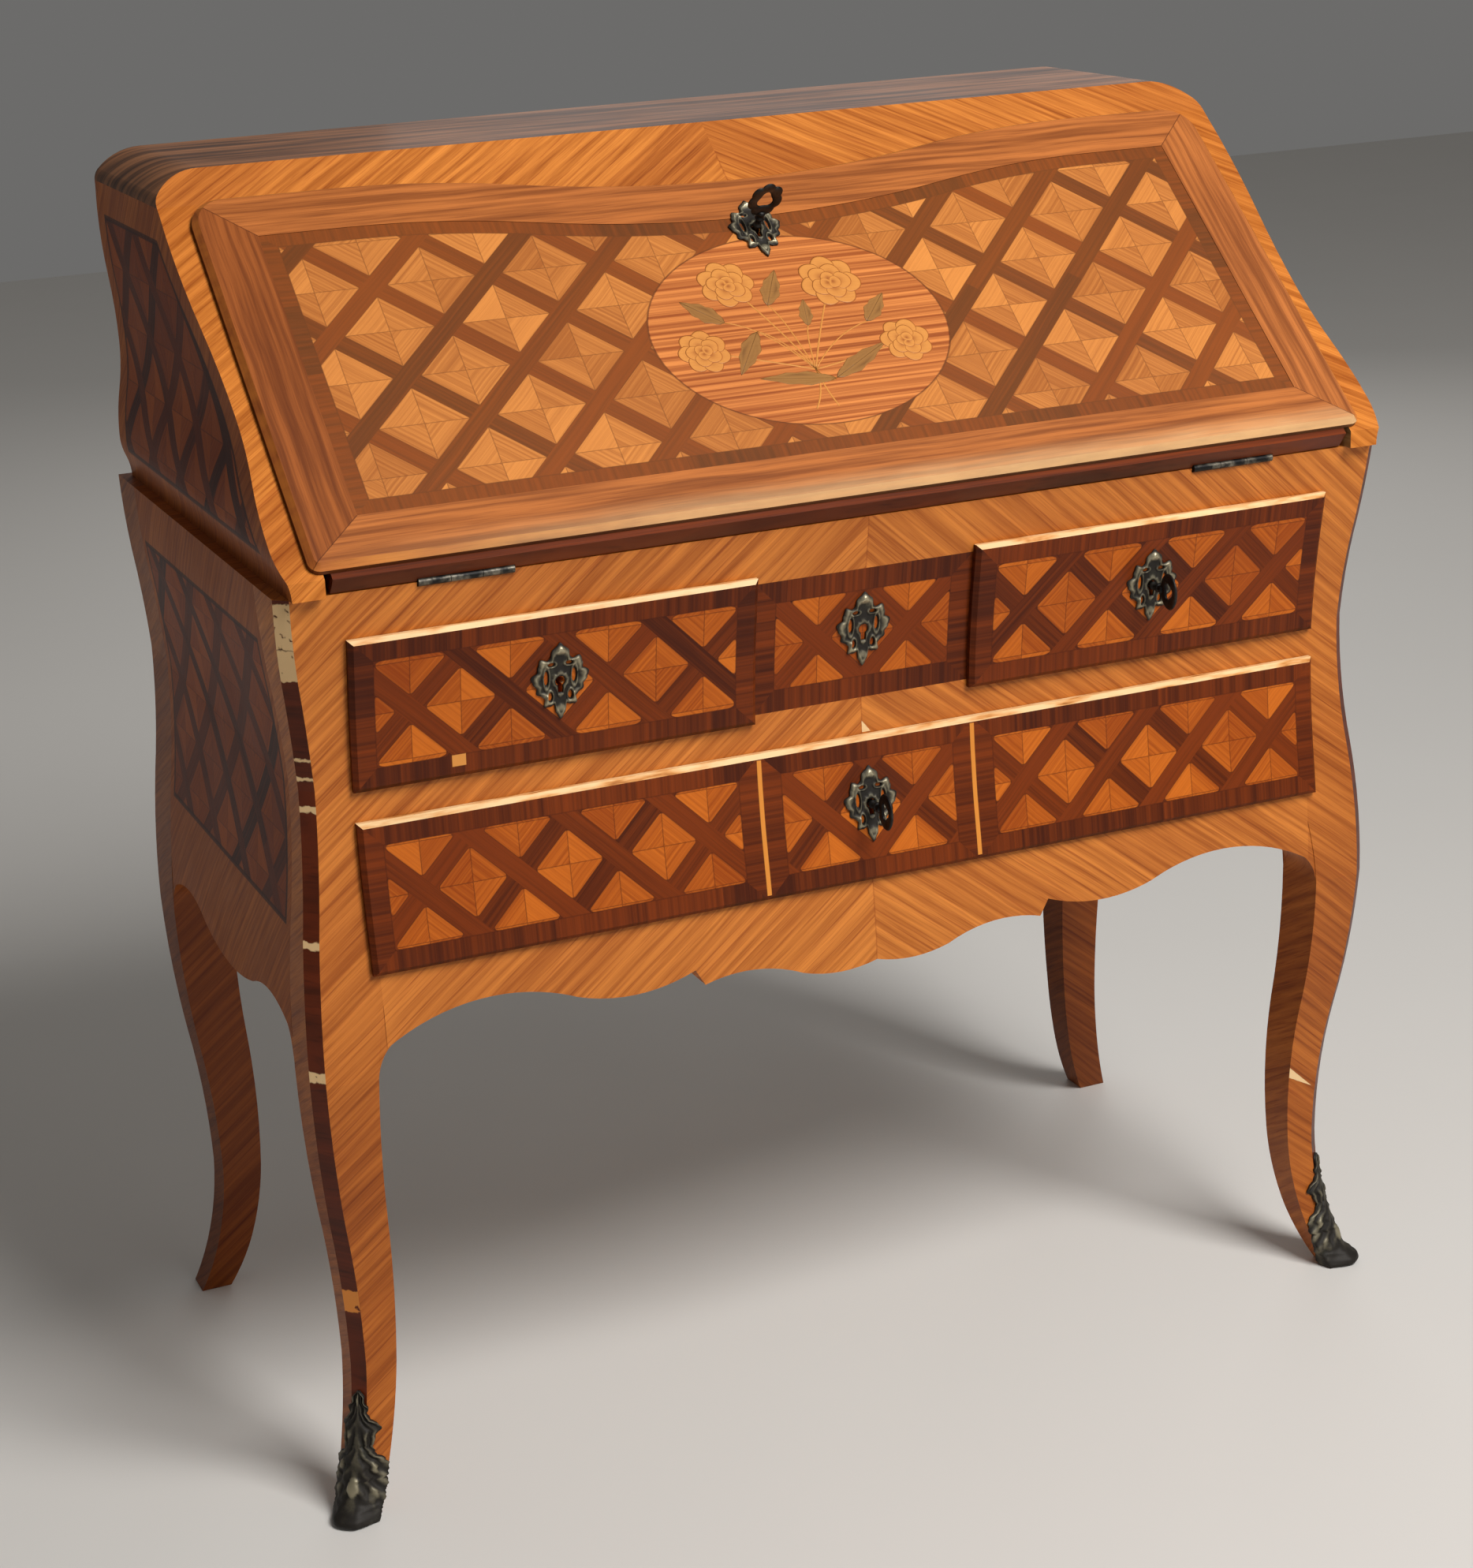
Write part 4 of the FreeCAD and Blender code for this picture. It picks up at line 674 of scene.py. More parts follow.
def crossbanded(finish, veneer, inside, along, third, seed, seam):
    """A veneer in a dark border grained square to its edge, with a thin joint: colour and grain."""
    shades = colours()
    broad, fine = streaks(finish, third, along, third, GRAIN_BAND, seed)
    leaf = finish.chance((along / BAND_LEAF).floor(), seed, 0.5)
    depth = (broad - 0.5) * 1.5 + leaf * 0.5 + 0.22
    band = finish.mix(depth.rise(0.0, 1.0), shades.strip_deep, shades.strip_pale)
    shade, grain = finish.lay(1 - inside.over(0), veneer, (band, fine))
    return finish.mix(inside.line(*BAND_LINE) * seam, shade, shades.strip_deep), grain


def tulip_figure(finish, along, across, third, seed):
    """Tulipwood laid in narrow leaves of unlike tone: colour and grain."""
    shades = colours()
    tones = (shades.tulip_pale, shades.tulip_deep)
    shade, grain = plank(finish, along, across, third, *tones, GRAIN_TULIP, seed, 0.95)
    thin = finish.noise(finish.vector(along * 7, across / GRAIN_THIN, third * 20 + seed), 2.0, 0.5)
    shade = finish.deepen(thin.rise(0.55, 0.70) * 0.42, shade, shades.tulip_deep)
    leaf = finish.chance((across / TULIP_LEAF + seed * 0.37).floor(), seed, 2.5)
    return finish.deepen(leaf * 0.3, shade, shades.tulip_deep), grain


def diagonal(finish, x, y, z):
    """Tulipwood laid slantwise, rising towards the middle of the desk: colour and grain."""
    half = abs(x)
    rise = z + y * 0.55
    other = y + x.over(0) * 0.7
    return tulip_figure(finish, half * 0.78 - rise * 0.62, half * 0.62 + rise * 0.78, other, 1.0)


def book_matched(finish, place):
    """Diagonal tulipwood with a thin joint at the middle of the desk: colour and grain."""
    shade, grain = diagonal(finish, *place)
    return finish.deepen(place[0].line(*JOIN_LINE) * 0.3, shade, colours().tulip_deep), grain


def rail_finish():
    """Tulipwood of rails, apron and fascia, with a chip lost from the middle rail."""
    finish = polished("tulipwood on rails")
    place = x, y, z = finish.where()
    shade, grain = book_matched(finish, place)
    ragged = finish.speck(place, 260, 2.0) - 0.5
    wide, foot, tall = RAIL_CHIP
    slant = 1 - x / wide - (z - foot) / tall
    chip = x.least(slant * wide / 2) + ragged * 0.0008
    chip = chip.rise(*LOST_EDGE) * z.over(foot) * (-y).over(0.15)
    return varnish(finish, place, finish.mix(chip, shade, colours().bare_and_glare), grain)


def lost_sliver(finish, place):
    """Where a sliver of veneer is lost across the right front leg."""
    x, y, z = place
    (from_x, from_z), (to_x, to_z), wide = LEG_SLIVER
    run_x = to_x - from_x
    run_z = to_z - from_z
    reach = math.hypot(run_x, run_z)
    along = ((x - from_x) * run_x + (z - from_z) * run_z) / reach ** 2
    aside = abs((x - from_x) * run_z - (z - from_z) * run_x) / reach
    ragged = finish.speck(place, 260, 2.0) - 0.5
    lost = ((1 - along) * wide - aside + ragged * 0.0006).rise(*LOST_EDGE)
    return lost * along.over(-0.3) * (-y).over(0)


def lost_chips(finish, place):
    """Where chips of veneer are lost along the left canted corner."""
    x, _, z = place
    ragged = finish.speck(place, 160, 2.0) - 0.5
    lost = 0.0
    for height, reach in CANT_CHIPS:
        lost = (z + ragged * 0.006 - height).line(reach - 0.0006, reach + 0.0006).most(lost)
    return lost * (ragged + 0.72).rise(0.52, 0.62) * (-x).over(0)


def leg_finish():
    """Tulipwood of the legs, darker below, with painted shade behind, dark red canted corners and lost
    veneer.
    """
    shades = colours()
    finish = polished("tulipwood on legs")
    place = x, y, z = finish.where()
    nx, ny, _ = finish.facing()
    shade, grain = book_matched(finish, place)
    shade = finish.deepen((1 - z.rise(*LEG_PALER)) * 0.75, shade, LOW_LEG_DARKER)
    # Painted shade on the rear legs.
    shade = finish.deepen(y.rise(*LEG_REAR) * 0.85, shade, REAR_LEG_PAINTED_SHADE)
    shade = finish.mix(lost_sliver(finish, place) * (-ny).over(0.5), shade, shades.bare_and_glare)
    red, _ = plank(finish, z, abs(x) - y, y, shades.cant, shades.strip_deep, GRAIN_CANT, 4.0)
    bare = finish.mix(z.rise(*LEG_BARE), shades.tulip_pale, shades.bare_and_glare)
    corner = (abs(nx) - ny).rise(1.22, 1.33)
    shade = finish.mix(corner, shade, finish.mix(lost_chips(finish, place), red, bare))
    return varnish(finish, place, shade, grain)


def drawer_finish(node, seed):
    """Lattice parquetry in a crossbanded border, for the drawers and the centre panel."""
    shades = colours()
    size = sizes()
    low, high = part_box(node)
    inner, outer = (corner.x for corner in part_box("upper_right_drawer_front"))
    finish = polished("parquetry of " + node.replace("_", " "), Specular_IOR_Level=0.12)
    place = x, y, z = finish.where()
    _, _, nz = finish.facing()
    half = abs(x)
    side = half.over(inner)
    to_side = side.choose(inner - half, (half - inner).least(outer - half))
    to_end = (z - low.z).least(high.z - z)
    inside = to_side.least(to_end) - size.drawer_band
    across = half - side * ((inner + outer) / 2)
    up = z - (low.z + high.z) / 2
    veneer = lattice(
        finish, across, up, size.front_pitch, size.front_pitch, seed,
        shades.lozenge_pale, shades.lozenge_deep, inside, LOZENGE_ROUND,
    )
    along = to_end.over(to_side).choose(x, z)
    shade, grain = crossbanded(finish, veneer, inside, along, y, seed, 0.4)
    if node == "upper_left_drawer_front":
        patch = (abs(x - PATCH_AT[0]) - PATCH_SIZE[0]).most(abs(z - PATCH_AT[1]) - PATCH_SIZE[1])
        shade = finish.mix(1 - patch.rise(-0.0003, 0.0003), shade, shades.petal)
    if node == "lower_drawer_front":
        pale = (half - inner).line(size.line / 2 - 0.0003, size.line / 2 + 0.0003)
        shade = finish.mix(pale * to_end.over(0.004), shade, shades.stringing)
    # Upward faces of the drawers' lips go pale in patches: partly wear, partly painted highlight.
    wear_and_highlight = finish.noise(finish.vector(x * 30, y * 200, z * 60 + seed))
    lip_wear_and_highlight = finish.mix(wear_and_highlight.rise(0.3, 0.6), shades.petal, shades.bare_and_glare)
    shade = finish.mix(nz.rise(0.42, 0.62) * wear_and_highlight.rise(0.18, 0.42), shade, lip_wear_and_highlight)
    return varnish(finish, place, shade, grain)


def slope_up(y, z):
    """Height up the fall above the foot of its field."""
    return (y - FALL_KEY.y) * FALL_UP.y + (z - FALL_KEY.z) * FALL_UP.z - FIELD_FOOT


def wave_drop(half):
    """How far the head of the fall dips below its ends, at a distance from the middle."""
    flank = (WAVE_START - half).most(0)
    crest = WAVE_DROP - half * half / (2 * WAVE_CREST)
    return (WAVE_TURN - half).over(0).choose(flank * flank / (2 * WAVE_FLANK), crest)


def field_finish():
    """Lattice parquetry of the fall, its crossband and the ground of its medallion."""
    shades = colours()
    size = sizes()
    finish = polished("parquetry of the fall")
    place = x, y, z = finish.where()
    half = abs(x)
    up = slope_up(y, z)
    to_side = FIELD_SIDE - half
    to_end = up.least(FIELD_HEAD - FIELD_FOOT - wave_drop(half) - up)
    border = to_side.least(to_end) - size.fall_band
    veneer = lattice(
        finish, x, up - size.fall_start, size.fall_pitch, size.fall_rise, 5.0,
        shades.fall_pale, shades.fall_deep, border, FIELD_ROUND,
    )
    wide = x / size.medallion_wide
    high = (up - size.medallion_up) / size.medallion_high
    oval = finish.math("SQRT", wide * wide + high * high)
    inside = 1 - oval.over(1.0)
    ground = plank(finish, x * 0.3, up, 0.0, shades.ground_pale, shades.ground_deep, GRAIN_GROUND, 8.0, 2.0)
    shade, grain = finish.lay(inside, veneer, ground)
    rim = ((oval - 1.0) * size.medallion_high).line(*JOIN_LINE)
    shade = finish.mix(rim * 0.7, shade, shades.strip_deep)
    along = to_end.over(to_side).choose(x, up)
    shade, grain = crossbanded(finish, (shade, grain), border, along, border, 6.0, 0.5)
    # Painted sheen: the field outside the medallion is mixed toward its palest tone.
    shade = finish.mix(FALL_PAINTED_SHEEN * (1 - inside), shade, shades.fall_pale)
    return varnish(finish, place, shade, grain)


def frame_finish():
    """Straight-grained frame of the fall, mitred at its corners; its edges pale as partly rubbed wear and
    partly painted highlight, with a painted glare and arris highlight on its foot and painted shade on faces
    turned from its front.
    """
    shades = colours()
    finish = polished("frame of the fall")
    place = x, y, z = finish.where()
    _, ny, nz = finish.facing()
    half = abs(x)
    up = slope_up(y, z)
    outward = (half - FIELD_SIDE) / FRAME_SIDE
    past_end = (-up / FRAME_FOOT).most((up - FIELD_HEAD + FIELD_FOOT) / FRAME_HEAD)
    upright = outward.over(past_end)
    along = upright.choose(x, up)
    across = upright.choose(up, half)
    tones = (shades.frame_pale, shades.frame_deep)
    shade, grain = plank(finish, along, across, upright, *tones, GRAIN_FRAME, 2.0, 1.5)
    mitre = (outward - past_end).line(0.004, 0.018) * past_end.over(0) * outward.over(0)
    shade = finish.mix(mitre * 0.7, shade, shades.strip_deep)
    tilt = ny * FALL_OUT.y + nz * FALL_OUT.z
    # Pale bevelled edges in patches, partly rubbed wear and partly painted highlight; these patches also
    # break up the painted glare on the foot.
    rubbed = finish.noise(finish.vector(x * 24, y * 90, z * 90))
    edge = tilt.rise(0.45, 0.6) * (1 - tilt.rise(0.88, 0.97))
    shade = finish.mix(edge * rubbed.rise(0.25, 0.7) * 0.55, shade, shades.stringing)
    shade = finish.deepen(upright * (-x).over(0) * 0.75, shade, FRAME_LEFT_DARKER)
    # Painted glare on the foot of the frame, fading out to its left, broken into patches.
    foot = 1 - (up + FRAME_FOOT).rise(0.003, 0.022)
    glare_zone = foot * (1 - upright) * x.rise(-0.42, -0.05)
    shade = finish.mix(glare_zone * (0.35 + rubbed * 0.6) * 0.55, shade, shades.bare_and_glare)
    # Painted shade on faces turned away from the fall's front, such as the underside of its lip.
    under = 1 - tilt.rise(0.42, 0.72)
    shade = finish.mix(under * 0.8, shade, shades.strip_deep)
    # Painted highlight along the arris of the foot's lip, within the painted glare.
    arris_highlight = tilt.rise(0.66, 0.78) * (1 - tilt.rise(0.92, 0.985))
    shade = finish.mix(glare_zone * arris_highlight * 0.8, shade, shades.bare_and_glare)
    return varnish(finish, place, shade, grain)


def side_veneer(finish, place, nx, across, up, rise, seed, inside):
    """Lattice in a plain border with a dark line, under painted shade, and oak on the inner face: colour and
    grain.
    """
    shades = colours()
    x, y, z = place
    pitch = sizes().side_pitch
    field = lattice(
        finish, across, up, pitch, rise, seed, shades.lozenge_pale, shades.lozenge_deep, inside, FIELD_ROUND
    )
    plain = tulip_figure(finish, y - z, y + z, x, 4.0)
    shade, grain = finish.lay(inside.over(0), plain, field)
    shade = finish.mix(inside.line(*SIDE_LINE) * 0.85, shade, shades.strip_deep)
    # Painted shade laid over the outer faces of the sides.
    shade = finish.deepen(1.0, shade, SIDE_PAINTED_SHADE)
    oak, _ = plank(finish, y, z, x, shades.oak_pale, shades.oak_deep, GRAIN_OAK, 2.0)
    return finish.mix((-(x * nx)).over(0.1), shade, oak), grain


def lower_side_finish():
    """Lattice on the bowed sides, in a level border."""
    low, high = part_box("side_panel_left")
    finish = polished("parquetry of the lower sides", Specular_IOR_Level=0.08)
    place = _, y, z = finish.where()
    foot = low.z + SIDE_FIELD_FOOT
    head = high.z - SIDE_FIELD_HEAD
    across = y - (low.y + high.y) / 2
    up = z - (foot + head) / 2
    inside = ((high.y - low.y) / 2 - SIDE_FIELD_END - abs(across)).least((head - foot) / 2 - abs(up))
    nx = finish.facing()[0]
    shade, grain = side_veneer(finish, place, nx, across, up, sizes().side_pitch, 21.0, inside)
    return varnish(finish, place, shade, grain)


def upper_side_finish():
    """Lattice on the waisted upper sides, in a border that follows the slope, with tulipwood front edges."""
    size = sizes()
    low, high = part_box("upper_side_left")
    finish = polished("parquetry of the upper sides", Specular_IOR_Level=0.08)
    place = x, y, z = finish.where()
    nx = finish.facing()[0]
    depth = (FALL_KEY.y - y) * FALL_OUT.y + (FALL_KEY.z - z) * FALL_OUT.z
    inside = depth.least(z - low.z).least(high.y - y).least(high.z - z) - size.side_band
    across = y - UPPER_LOZENGE_Y
    veneer = side_veneer(finish, place, nx, across, z - UPPER_LOZENGE_Z, size.side_rise, 31.0, inside)
    shade, grain = finish.lay(abs(nx).rise(0.55, 0.75), diagonal(finish, x, y, z), veneer)
    return varnish(finish, place, shade, grain)


def top_finish():
    """Brown top with a tulipwood front edge."""
    shades = colours()
    finish = polished("walnut of the top")
    place = x, y, z = finish.where()
    _, ny, _ = finish.facing()
    brown = plank(finish, x, y + z, z, shades.walnut_pale, shades.walnut_deep, GRAIN_TOP, 6.0, 1.8)
    ahead = (-ny).rise(0.25, 0.4)
    shade, grain = finish.lay(ahead, brown, diagonal(finish, x, y, z))
    return varnish(finish, place, shade, grain, (0.5 - ahead * 0.12, 0.0, 0.12))


def leather_finish():
    """Writing leather with a fine grain and two tooled gilt lines."""
    shades = colours()
    side = span("fall_leather", RIGHT)[1]
    foot, head = span("fall_leather", FALL_UP, FALL_KEY)
    finish = Finish("writing leather")
    place = x, y, z = finish.where()
    up = slope_up(y, z) + FIELD_FOOT
    edge = (side - abs(x)).least((up - foot).least(head - up))
    lines = (edge - GILT_IN).line(*GILT_WIDE).most((edge - GILT_NEXT).line(*GILT_THIN))
    gilt = lines * finish.speck(place, 300, 2.0).rise(0.3, 0.5)
    slow = finish.speck(place, 1 / LEATHER_TONE_SIZE, 2.0, 0.5)
    rubbed = finish.speck(place, 60, 4.0).rise(0.55, 0.75)
    hide = finish.mix(slow.rise(0.3, 0.7), [c * 0.72 for c in shades.leather], shades.leather)
    hide = finish.mix(rubbed * 0.3, hide, [min(c * 1.7, 1) for c in shades.leather])
    finish.show(
        Base_Color=finish.mix(gilt, hide, shades.gilt),
        Roughness=0.5 + slow * 0.16 - gilt * 0.22,
        Metallic=gilt * 0.8,
    )
    pebbles = {"Vector": finish.vector(x, y, z), "Scale": 900.0}
    pebble = finish.node("ShaderNodeTexVoronoi", {"feature": "SMOOTH_F1"}, pebbles)
    finish.bump(Field(finish, pebble.outputs["Distance"]), 0.0003, 0.5)
    return finish


def bronze(name, rubbing=None):
    """Patinated bronze, dark in its hollows; a casting is rubbed on its high places."""
    shades = colours()
    finish = Finish(name)
    place = finish.where()
    slow = finish.speck(place, 90, 4.0, 0.6)
    fine = finish.speck(place, 700, 2.0)
    high = finish.attribute("relief") if rubbing else slow * 0.4 + 0.35
    rubbed = (high + (slow - 0.5) * 0.5).rise(0.30, 0.90) * (rubbing or 1.0)
    patina = finish.mix(slow.rise(0.55, 0.75) * 0.2, shades.bronze_dark, shades.bronze_green)
    finish.show(
        Base_Color=finish.mix(rubbed, patina, shades.bronze_rubbed),
        Roughness=0.56 - rubbed * 0.24 + fine * 0.1,
        Metallic=0.45 + rubbed * 0.3,
    )
    finish.bump(fine, 0.00015, 0.4)
    return finish


def steel(name, pale):
    """Old darkened steel, rubbed where it is handled."""
    finish = Finish(name, Metallic=0.6)
    place = x, y, z = finish.where()
    scratch = finish.noise(finish.vector(x * 900, y * 160, z * 900), 2.0)
    rubbed = finish.speck(place, 70, 4.0, 0.6).rise(0.42, 0.72)
    finish.show(
        Base_Color=finish.mix(rubbed, colours().steel_dark, pale),
        Roughness=0.42 - rubbed * 0.12 + scratch * 0.14,
    )
    finish.bump(scratch, 0.00008, 0.4)
    return finish


def inlay_finish(name, pale, deep, seed):
    """Sand-shaded inlay wood."""
    finish = polished(name)
    place = x, y, z = finish.where()
    _, fine = streaks(finish, x, slope_up(y, z), z, GRAIN_INLAY, seed)
    shade = finish.mix(finish.attribute("shade").rise(0.0, 0.9), deep, pale)
    shade = finish.deepen(fine.rise(0.5, 0.8) * 0.3, shade, colours().scorch)
    return varnish(finish, place, shade, fine)


def make_piece(name, points, faces, finish, body, numbers=None, replaced=()):
    """A new mesh piece that rides on a body of the frame."""
    mesh = bpy.data.meshes.new(name)
    mesh.from_pydata(points, [], faces)
    for key, values in (numbers or {}).items():
        kept = mesh.attributes.new(key, "FLOAT", "POINT")
        kept.data.foreach_set("value", values)
    shaped = bmesh.new()
    shaped.from_mesh(mesh)
    bmesh.ops.recalc_face_normals(shaped, faces=shaped.faces)
    shaped.to_mesh(mesh)
    shaped.free()
    mesh.shade_smooth()
    mesh.materials.append(finish.material)
    piece = bpy.data.objects.new(name, mesh)
    bpy.context.scene.collection.objects.link(piece)
    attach(piece, body)
    if replaced:
        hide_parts(*replaced)
    return piece


def grid_faces(rows, columns, start=0, ring=True, closed=False):
    """Faces of a grid of points; ring joins the ends of each row, and closed the last row to the first."""
    faces = []
    for row in range(rows if closed else rows - 1):
        first = start + row * columns
        second = start + (row + 1) % rows * columns
        for column in range(columns if ring else columns - 1):
            after = (column + 1) % columns
            faces.append((first + column, first + after, second + after, second + column))
    return faces


def between(rows, at):
    """Smooth value at a place along rows of (place, value)."""
    for (low, first), (high, second) in zip(rows, rows[1:]):
        if at <= high:
            share = (at - low) / (high - low)
            share = share * share * (3 - 2 * share)
            return first + (second - first) * share
    return rows[-1][1]


def bell(distance, width):
    """1 at no distance, falling smoothly to nothing beyond a width."""
    return math.exp(-(distance / width) ** 2)


def surface(node):
    """A frame node's faces, ready to be met by a line."""
    mesh = NODES[node].data
    return BVHTree.FromPolygons([v.co for v in mesh.vertices], [p.vertices for p in mesh.polygons])


def face_at(tree, start, way):
    """Where a line first meets a node's faces."""
    hit, _, _, _ = tree.ray_cast(start, way)
    if hit is None:
        raise ValueError("a line misses the piece that it should meet")
    return hit


class Seat:
    """A place on a node with its own directions: across, up, and out from its surface."""

    def __init__(self, origin, up, out, node):
        self.origin = Vector(origin)
        self.up = Vector(up)
        self.out = Vector(out)
        self.right = self.up.cross(self.out)
        self.tree = surface(node)

    def point(self, across, up, out):
        return self.origin + self.right * across + self.up * up + self.out * out

    def face(self, up):
        """How far out the surface stands at a height, taken beside the keyhole."""
        far = 0.2
        return (face_at(self.tree, self.point(PLATE_ASIDE, up, far), -self.out) - self.origin).dot(self.out)


def keyhole_radius(angle):
    """Edge of the keyhole, seen from the middle of its round end."""
    if math.sin(angle) >= 0:
        return HOLE_ROUND
    side = HOLE_SLOT / max(abs(math.cos(angle)), 1e-4)
    return max(HOLE_ROUND, min(side, HOLE_DEEP / abs(math.sin(angle))))


def plate_relief(across, up, share):
    """Height of the casting: rims, scrolls and bosses, and piercings sunk below the wood."""
    aside = abs(across)
    level = PLATE_THICK
    for at_share, width, height in PLATE_RIMS:
        level += height * bell(share - at_share, width)
    flutes = math.cos(math.atan2(up, aside) * 9 + 0.6)
    level += PLATE_FLUTE * flutes * min(max((share - 0.5) / 0.3, 0), 1)
    for at_across, at_up, radius, height in PLATE_BOSSES:
        near = ((aside - at_across) ** 2 + (up - at_up) ** 2) / radius ** 2
        if near < 1:
            level += height * (1 - near) ** 0.7
    sunk = 1.0
    for at_across, at_up, wide, high in PLATE_HOLES:
        out = math.hypot((aside - at_across) / wide, (up - at_up) / high)
        level += PLATE_HOLE_RIM * bell(out - 1.55, 0.32)
        sunk = min(sunk, max(out - 0.85, 0) / 0.3)
    return -PLATE_SUNK + (level + PLATE_SUNK) * sunk


def plate_piece(node, seat, body, finish, scale=1.0, flat=None):
    """Cast key plate: leafy outline, scrolls, bosses and a pierced keyhole."""
    rings = 34
    turns = 128
    points = []
    relief = []
    for ring in range(rings + 4):
        share = min(max((ring - 2) / (rings - 1), 0), 1)
        for turn in range(turns):
            angle = 2 * math.pi * turn / turns
            outline = between(PLATE_OUTLINE, math.degrees(math.asin(math.sin(angle)))) * scale
            inner = keyhole_radius(angle)
            radius = inner + (outline - inner) * share
            across = radius * math.cos(angle)
            up = radius * math.sin(angle)
            level = plate_relief(across / scale, up / scale, share)
            relief.append(min(max(level, 0) / PLATE_CREST, 1))
            if ring in (0, rings + 3):
                level = -PLATE_SUNK
            elif ring in (1, rings + 2):
                level = min(level, level * 0.55)
            base = seat.face(up) if flat is None else flat
            points.append(seat.point(across, up, base + level))
    faces = grid_faces(rings + 4, turns, closed=True)
    return make_piece(node + "_casting", points, faces, finish, body, {"relief": relief}, (node,))


def lathe(seat, profile, turns=28):
    """Turned points round a seat's outward line from (distance out, radius) rows."""
    points = []
    for out, radius in profile:
        for turn in range(turns):
            angle = 2 * math.pi * turn / turns
            points.append(seat.point(radius * math.cos(angle), radius * math.sin(angle), out))
    faces = grid_faces(len(profile), turns)
    faces.append(tuple(reversed(range(turns))))
    faces.append(tuple(range((len(profile) - 1) * turns, len(profile) * turns)))
    return points, faces


def key_piece(node, seat, flat_way, finish, lobes=0, tall=1.0):
    """Key with a collared shank, a bit and a pierced, lobed bow."""
    near, far = span(node, seat.out, seat.origin)
    neck = far - KEY_BOW_R * KEY_NECK
    middle = neck + KEY_BOW_R * tall * KEY_MIDDLE
    profile = [(near + out, radius) for out, radius in KEY_TIP]
    profile += [(neck + out, radius) for out, radius in KEY_SHANK]
    points, faces = lathe(seat, profile)
    thin = seat.out.cross(flat_way)
    turns = 72
    around = 10
    faces += grid_faces(turns, around, len(points), closed=True)
    for turn in range(turns):
        angle = 2 * math.pi * turn / turns
        swell = abs(math.cos(lobes * angle / 2)) ** 0.7
        outer = KEY_BOW_R * (1.0 - KEY_LOBE + KEY_LOBE * swell)
        inner = KEY_BOW_R * (KEY_PIERCE + KEY_PIERCE_LOBE * math.cos(3 * angle))
        for step in range(around):
            part = 2 * math.pi * step / around
            radius = (outer + inner) / 2 + (outer - inner) / 2 * math.cos(part)
            side = KEY_BOW_THICK * math.sin(part) * (0.75 + 0.25 * swell)
            ahead = radius * math.cos(angle) * tall
            wide = radius * math.sin(angle) * KEY_BOW_WIDE
            points.append(seat.point(0, 0, middle + ahead) + flat_way * wide + thin * side)
    faces += [tuple(len(points) + n for n in face) for face in BLOCK_FACES]
    half, root, tip = KEY_BIT
    for out in KEY_BIT_ENDS:
        for wide, deep in ((-half, root), (half, root), (half, tip), (-half, tip)):
            points.append(seat.point(0, 0, near + out) + thin * wide - flat_way * deep)
    return make_piece(node + "_forged", points, faces, finish, node, None, (node,))


def leg_middle(leg, height):
    """Middle of a leg at a height."""
    near = [v.co for v in leg.vertices if abs(v.co.z - height) < 0.03]
    low = [min(p[axis] for p in near) for axis in (0, 1)]
    high = [max(p[axis] for p in near) for axis in (0, 1)]
    return Vector(((low[0] + high[0]) / 2, (low[1] + high[1]) / 2, height))


def shoe_relief(aside, share):
    """Thickness of the shoe's casting without its toe: leaf ribs, buds and rolled edges."""
    rib = bell(aside, 0.16)
    level = SHOE_THICK + SHOE_RIB * rib * min(share / 0.2, 1) * (1 - share * 0.4)
    veins = math.cos(9 * math.pi * (share * 1.4 + abs(aside) * 0.55))
    level += SHOE_VEIN * veins * min(share / 0.25, 1) * (1 - rib)
    level += SHOE_HEM * bell(abs(aside) - 0.86, 0.12)
    for at_aside, at_share, radius, height in SHOE_BUDS:
        near = (((abs(aside) - at_aside) * 0.4) ** 2 + (share - at_share) ** 2) / radius ** 2
        if near < 1:
            level += height * math.sqrt(1 - near)
    return level


def shoe_piece(side, finish):
    """Cast shoe: a leafy sheath up the canted corner that ends in a scrolled toe."""
    node = "shoe_front_" + side
    leg_node = "leg_front_" + side
    leg = surface(leg_node)
    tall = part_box(node)[1].z * SHOE_GROWN
    hand = 1 if side == "right" else -1
    corner = Vector((hand, -1, 0)).normalized()
    rows = 96
    columns = 41
    outer = []
    inner = []
    relief = []
    for row in range(rows):
        share = row / (rows - 1)
        core = leg_middle(NODES[leg_node].data, max(tall * share, SHOE_LOWEST))
        ridge = (face_at(leg, core + corner * LEG_FAR, -corner) - core).length
        for column in range(columns):
            aside = 2 * column / (columns - 1) - 1
            turn = math.pi / 4 - math.radians(between(SHOE_SPREAD, share)) * aside
            way = Vector((hand * math.cos(turn), -math.sin(turn), 0))
            hit = face_at(leg, core + way * LEG_FAR, -way)
            level = shoe_relief(aside, share)
            relief.append(min(level / SHOE_CREST, 1))
            level += between(SHOE_TOE, share) * bell(aside, 0.42)
            level += max(ridge - (hit - core).length, 0) * between(SHOE_ROUND, share)
            outer.append(hit + way * level)
            inner.append(hit - way * SHOE_SUNK)
    count = rows * columns
    faces = grid_faces(rows, columns, ring=False)
    faces += [tuple(n + count for n in reversed(face)) for face in faces]
    rim = list(range(columns)) + [r * columns + columns - 1 for r in range(1, rows)]
    rim += [(rows - 1) * columns + c for c in range(columns - 2, -1, -1)]
    rim += [r * columns for r in range(rows - 2, 0, -1)]
    faces += [(a, b, b + count, a + count) for a, b in zip(rim, rim[1:] + rim[:1])]
    numbers = {"relief": relief + [0.0] * count}
    return make_piece(node + "_casting", outer + inner, faces, finish, "case", numbers, (node,))


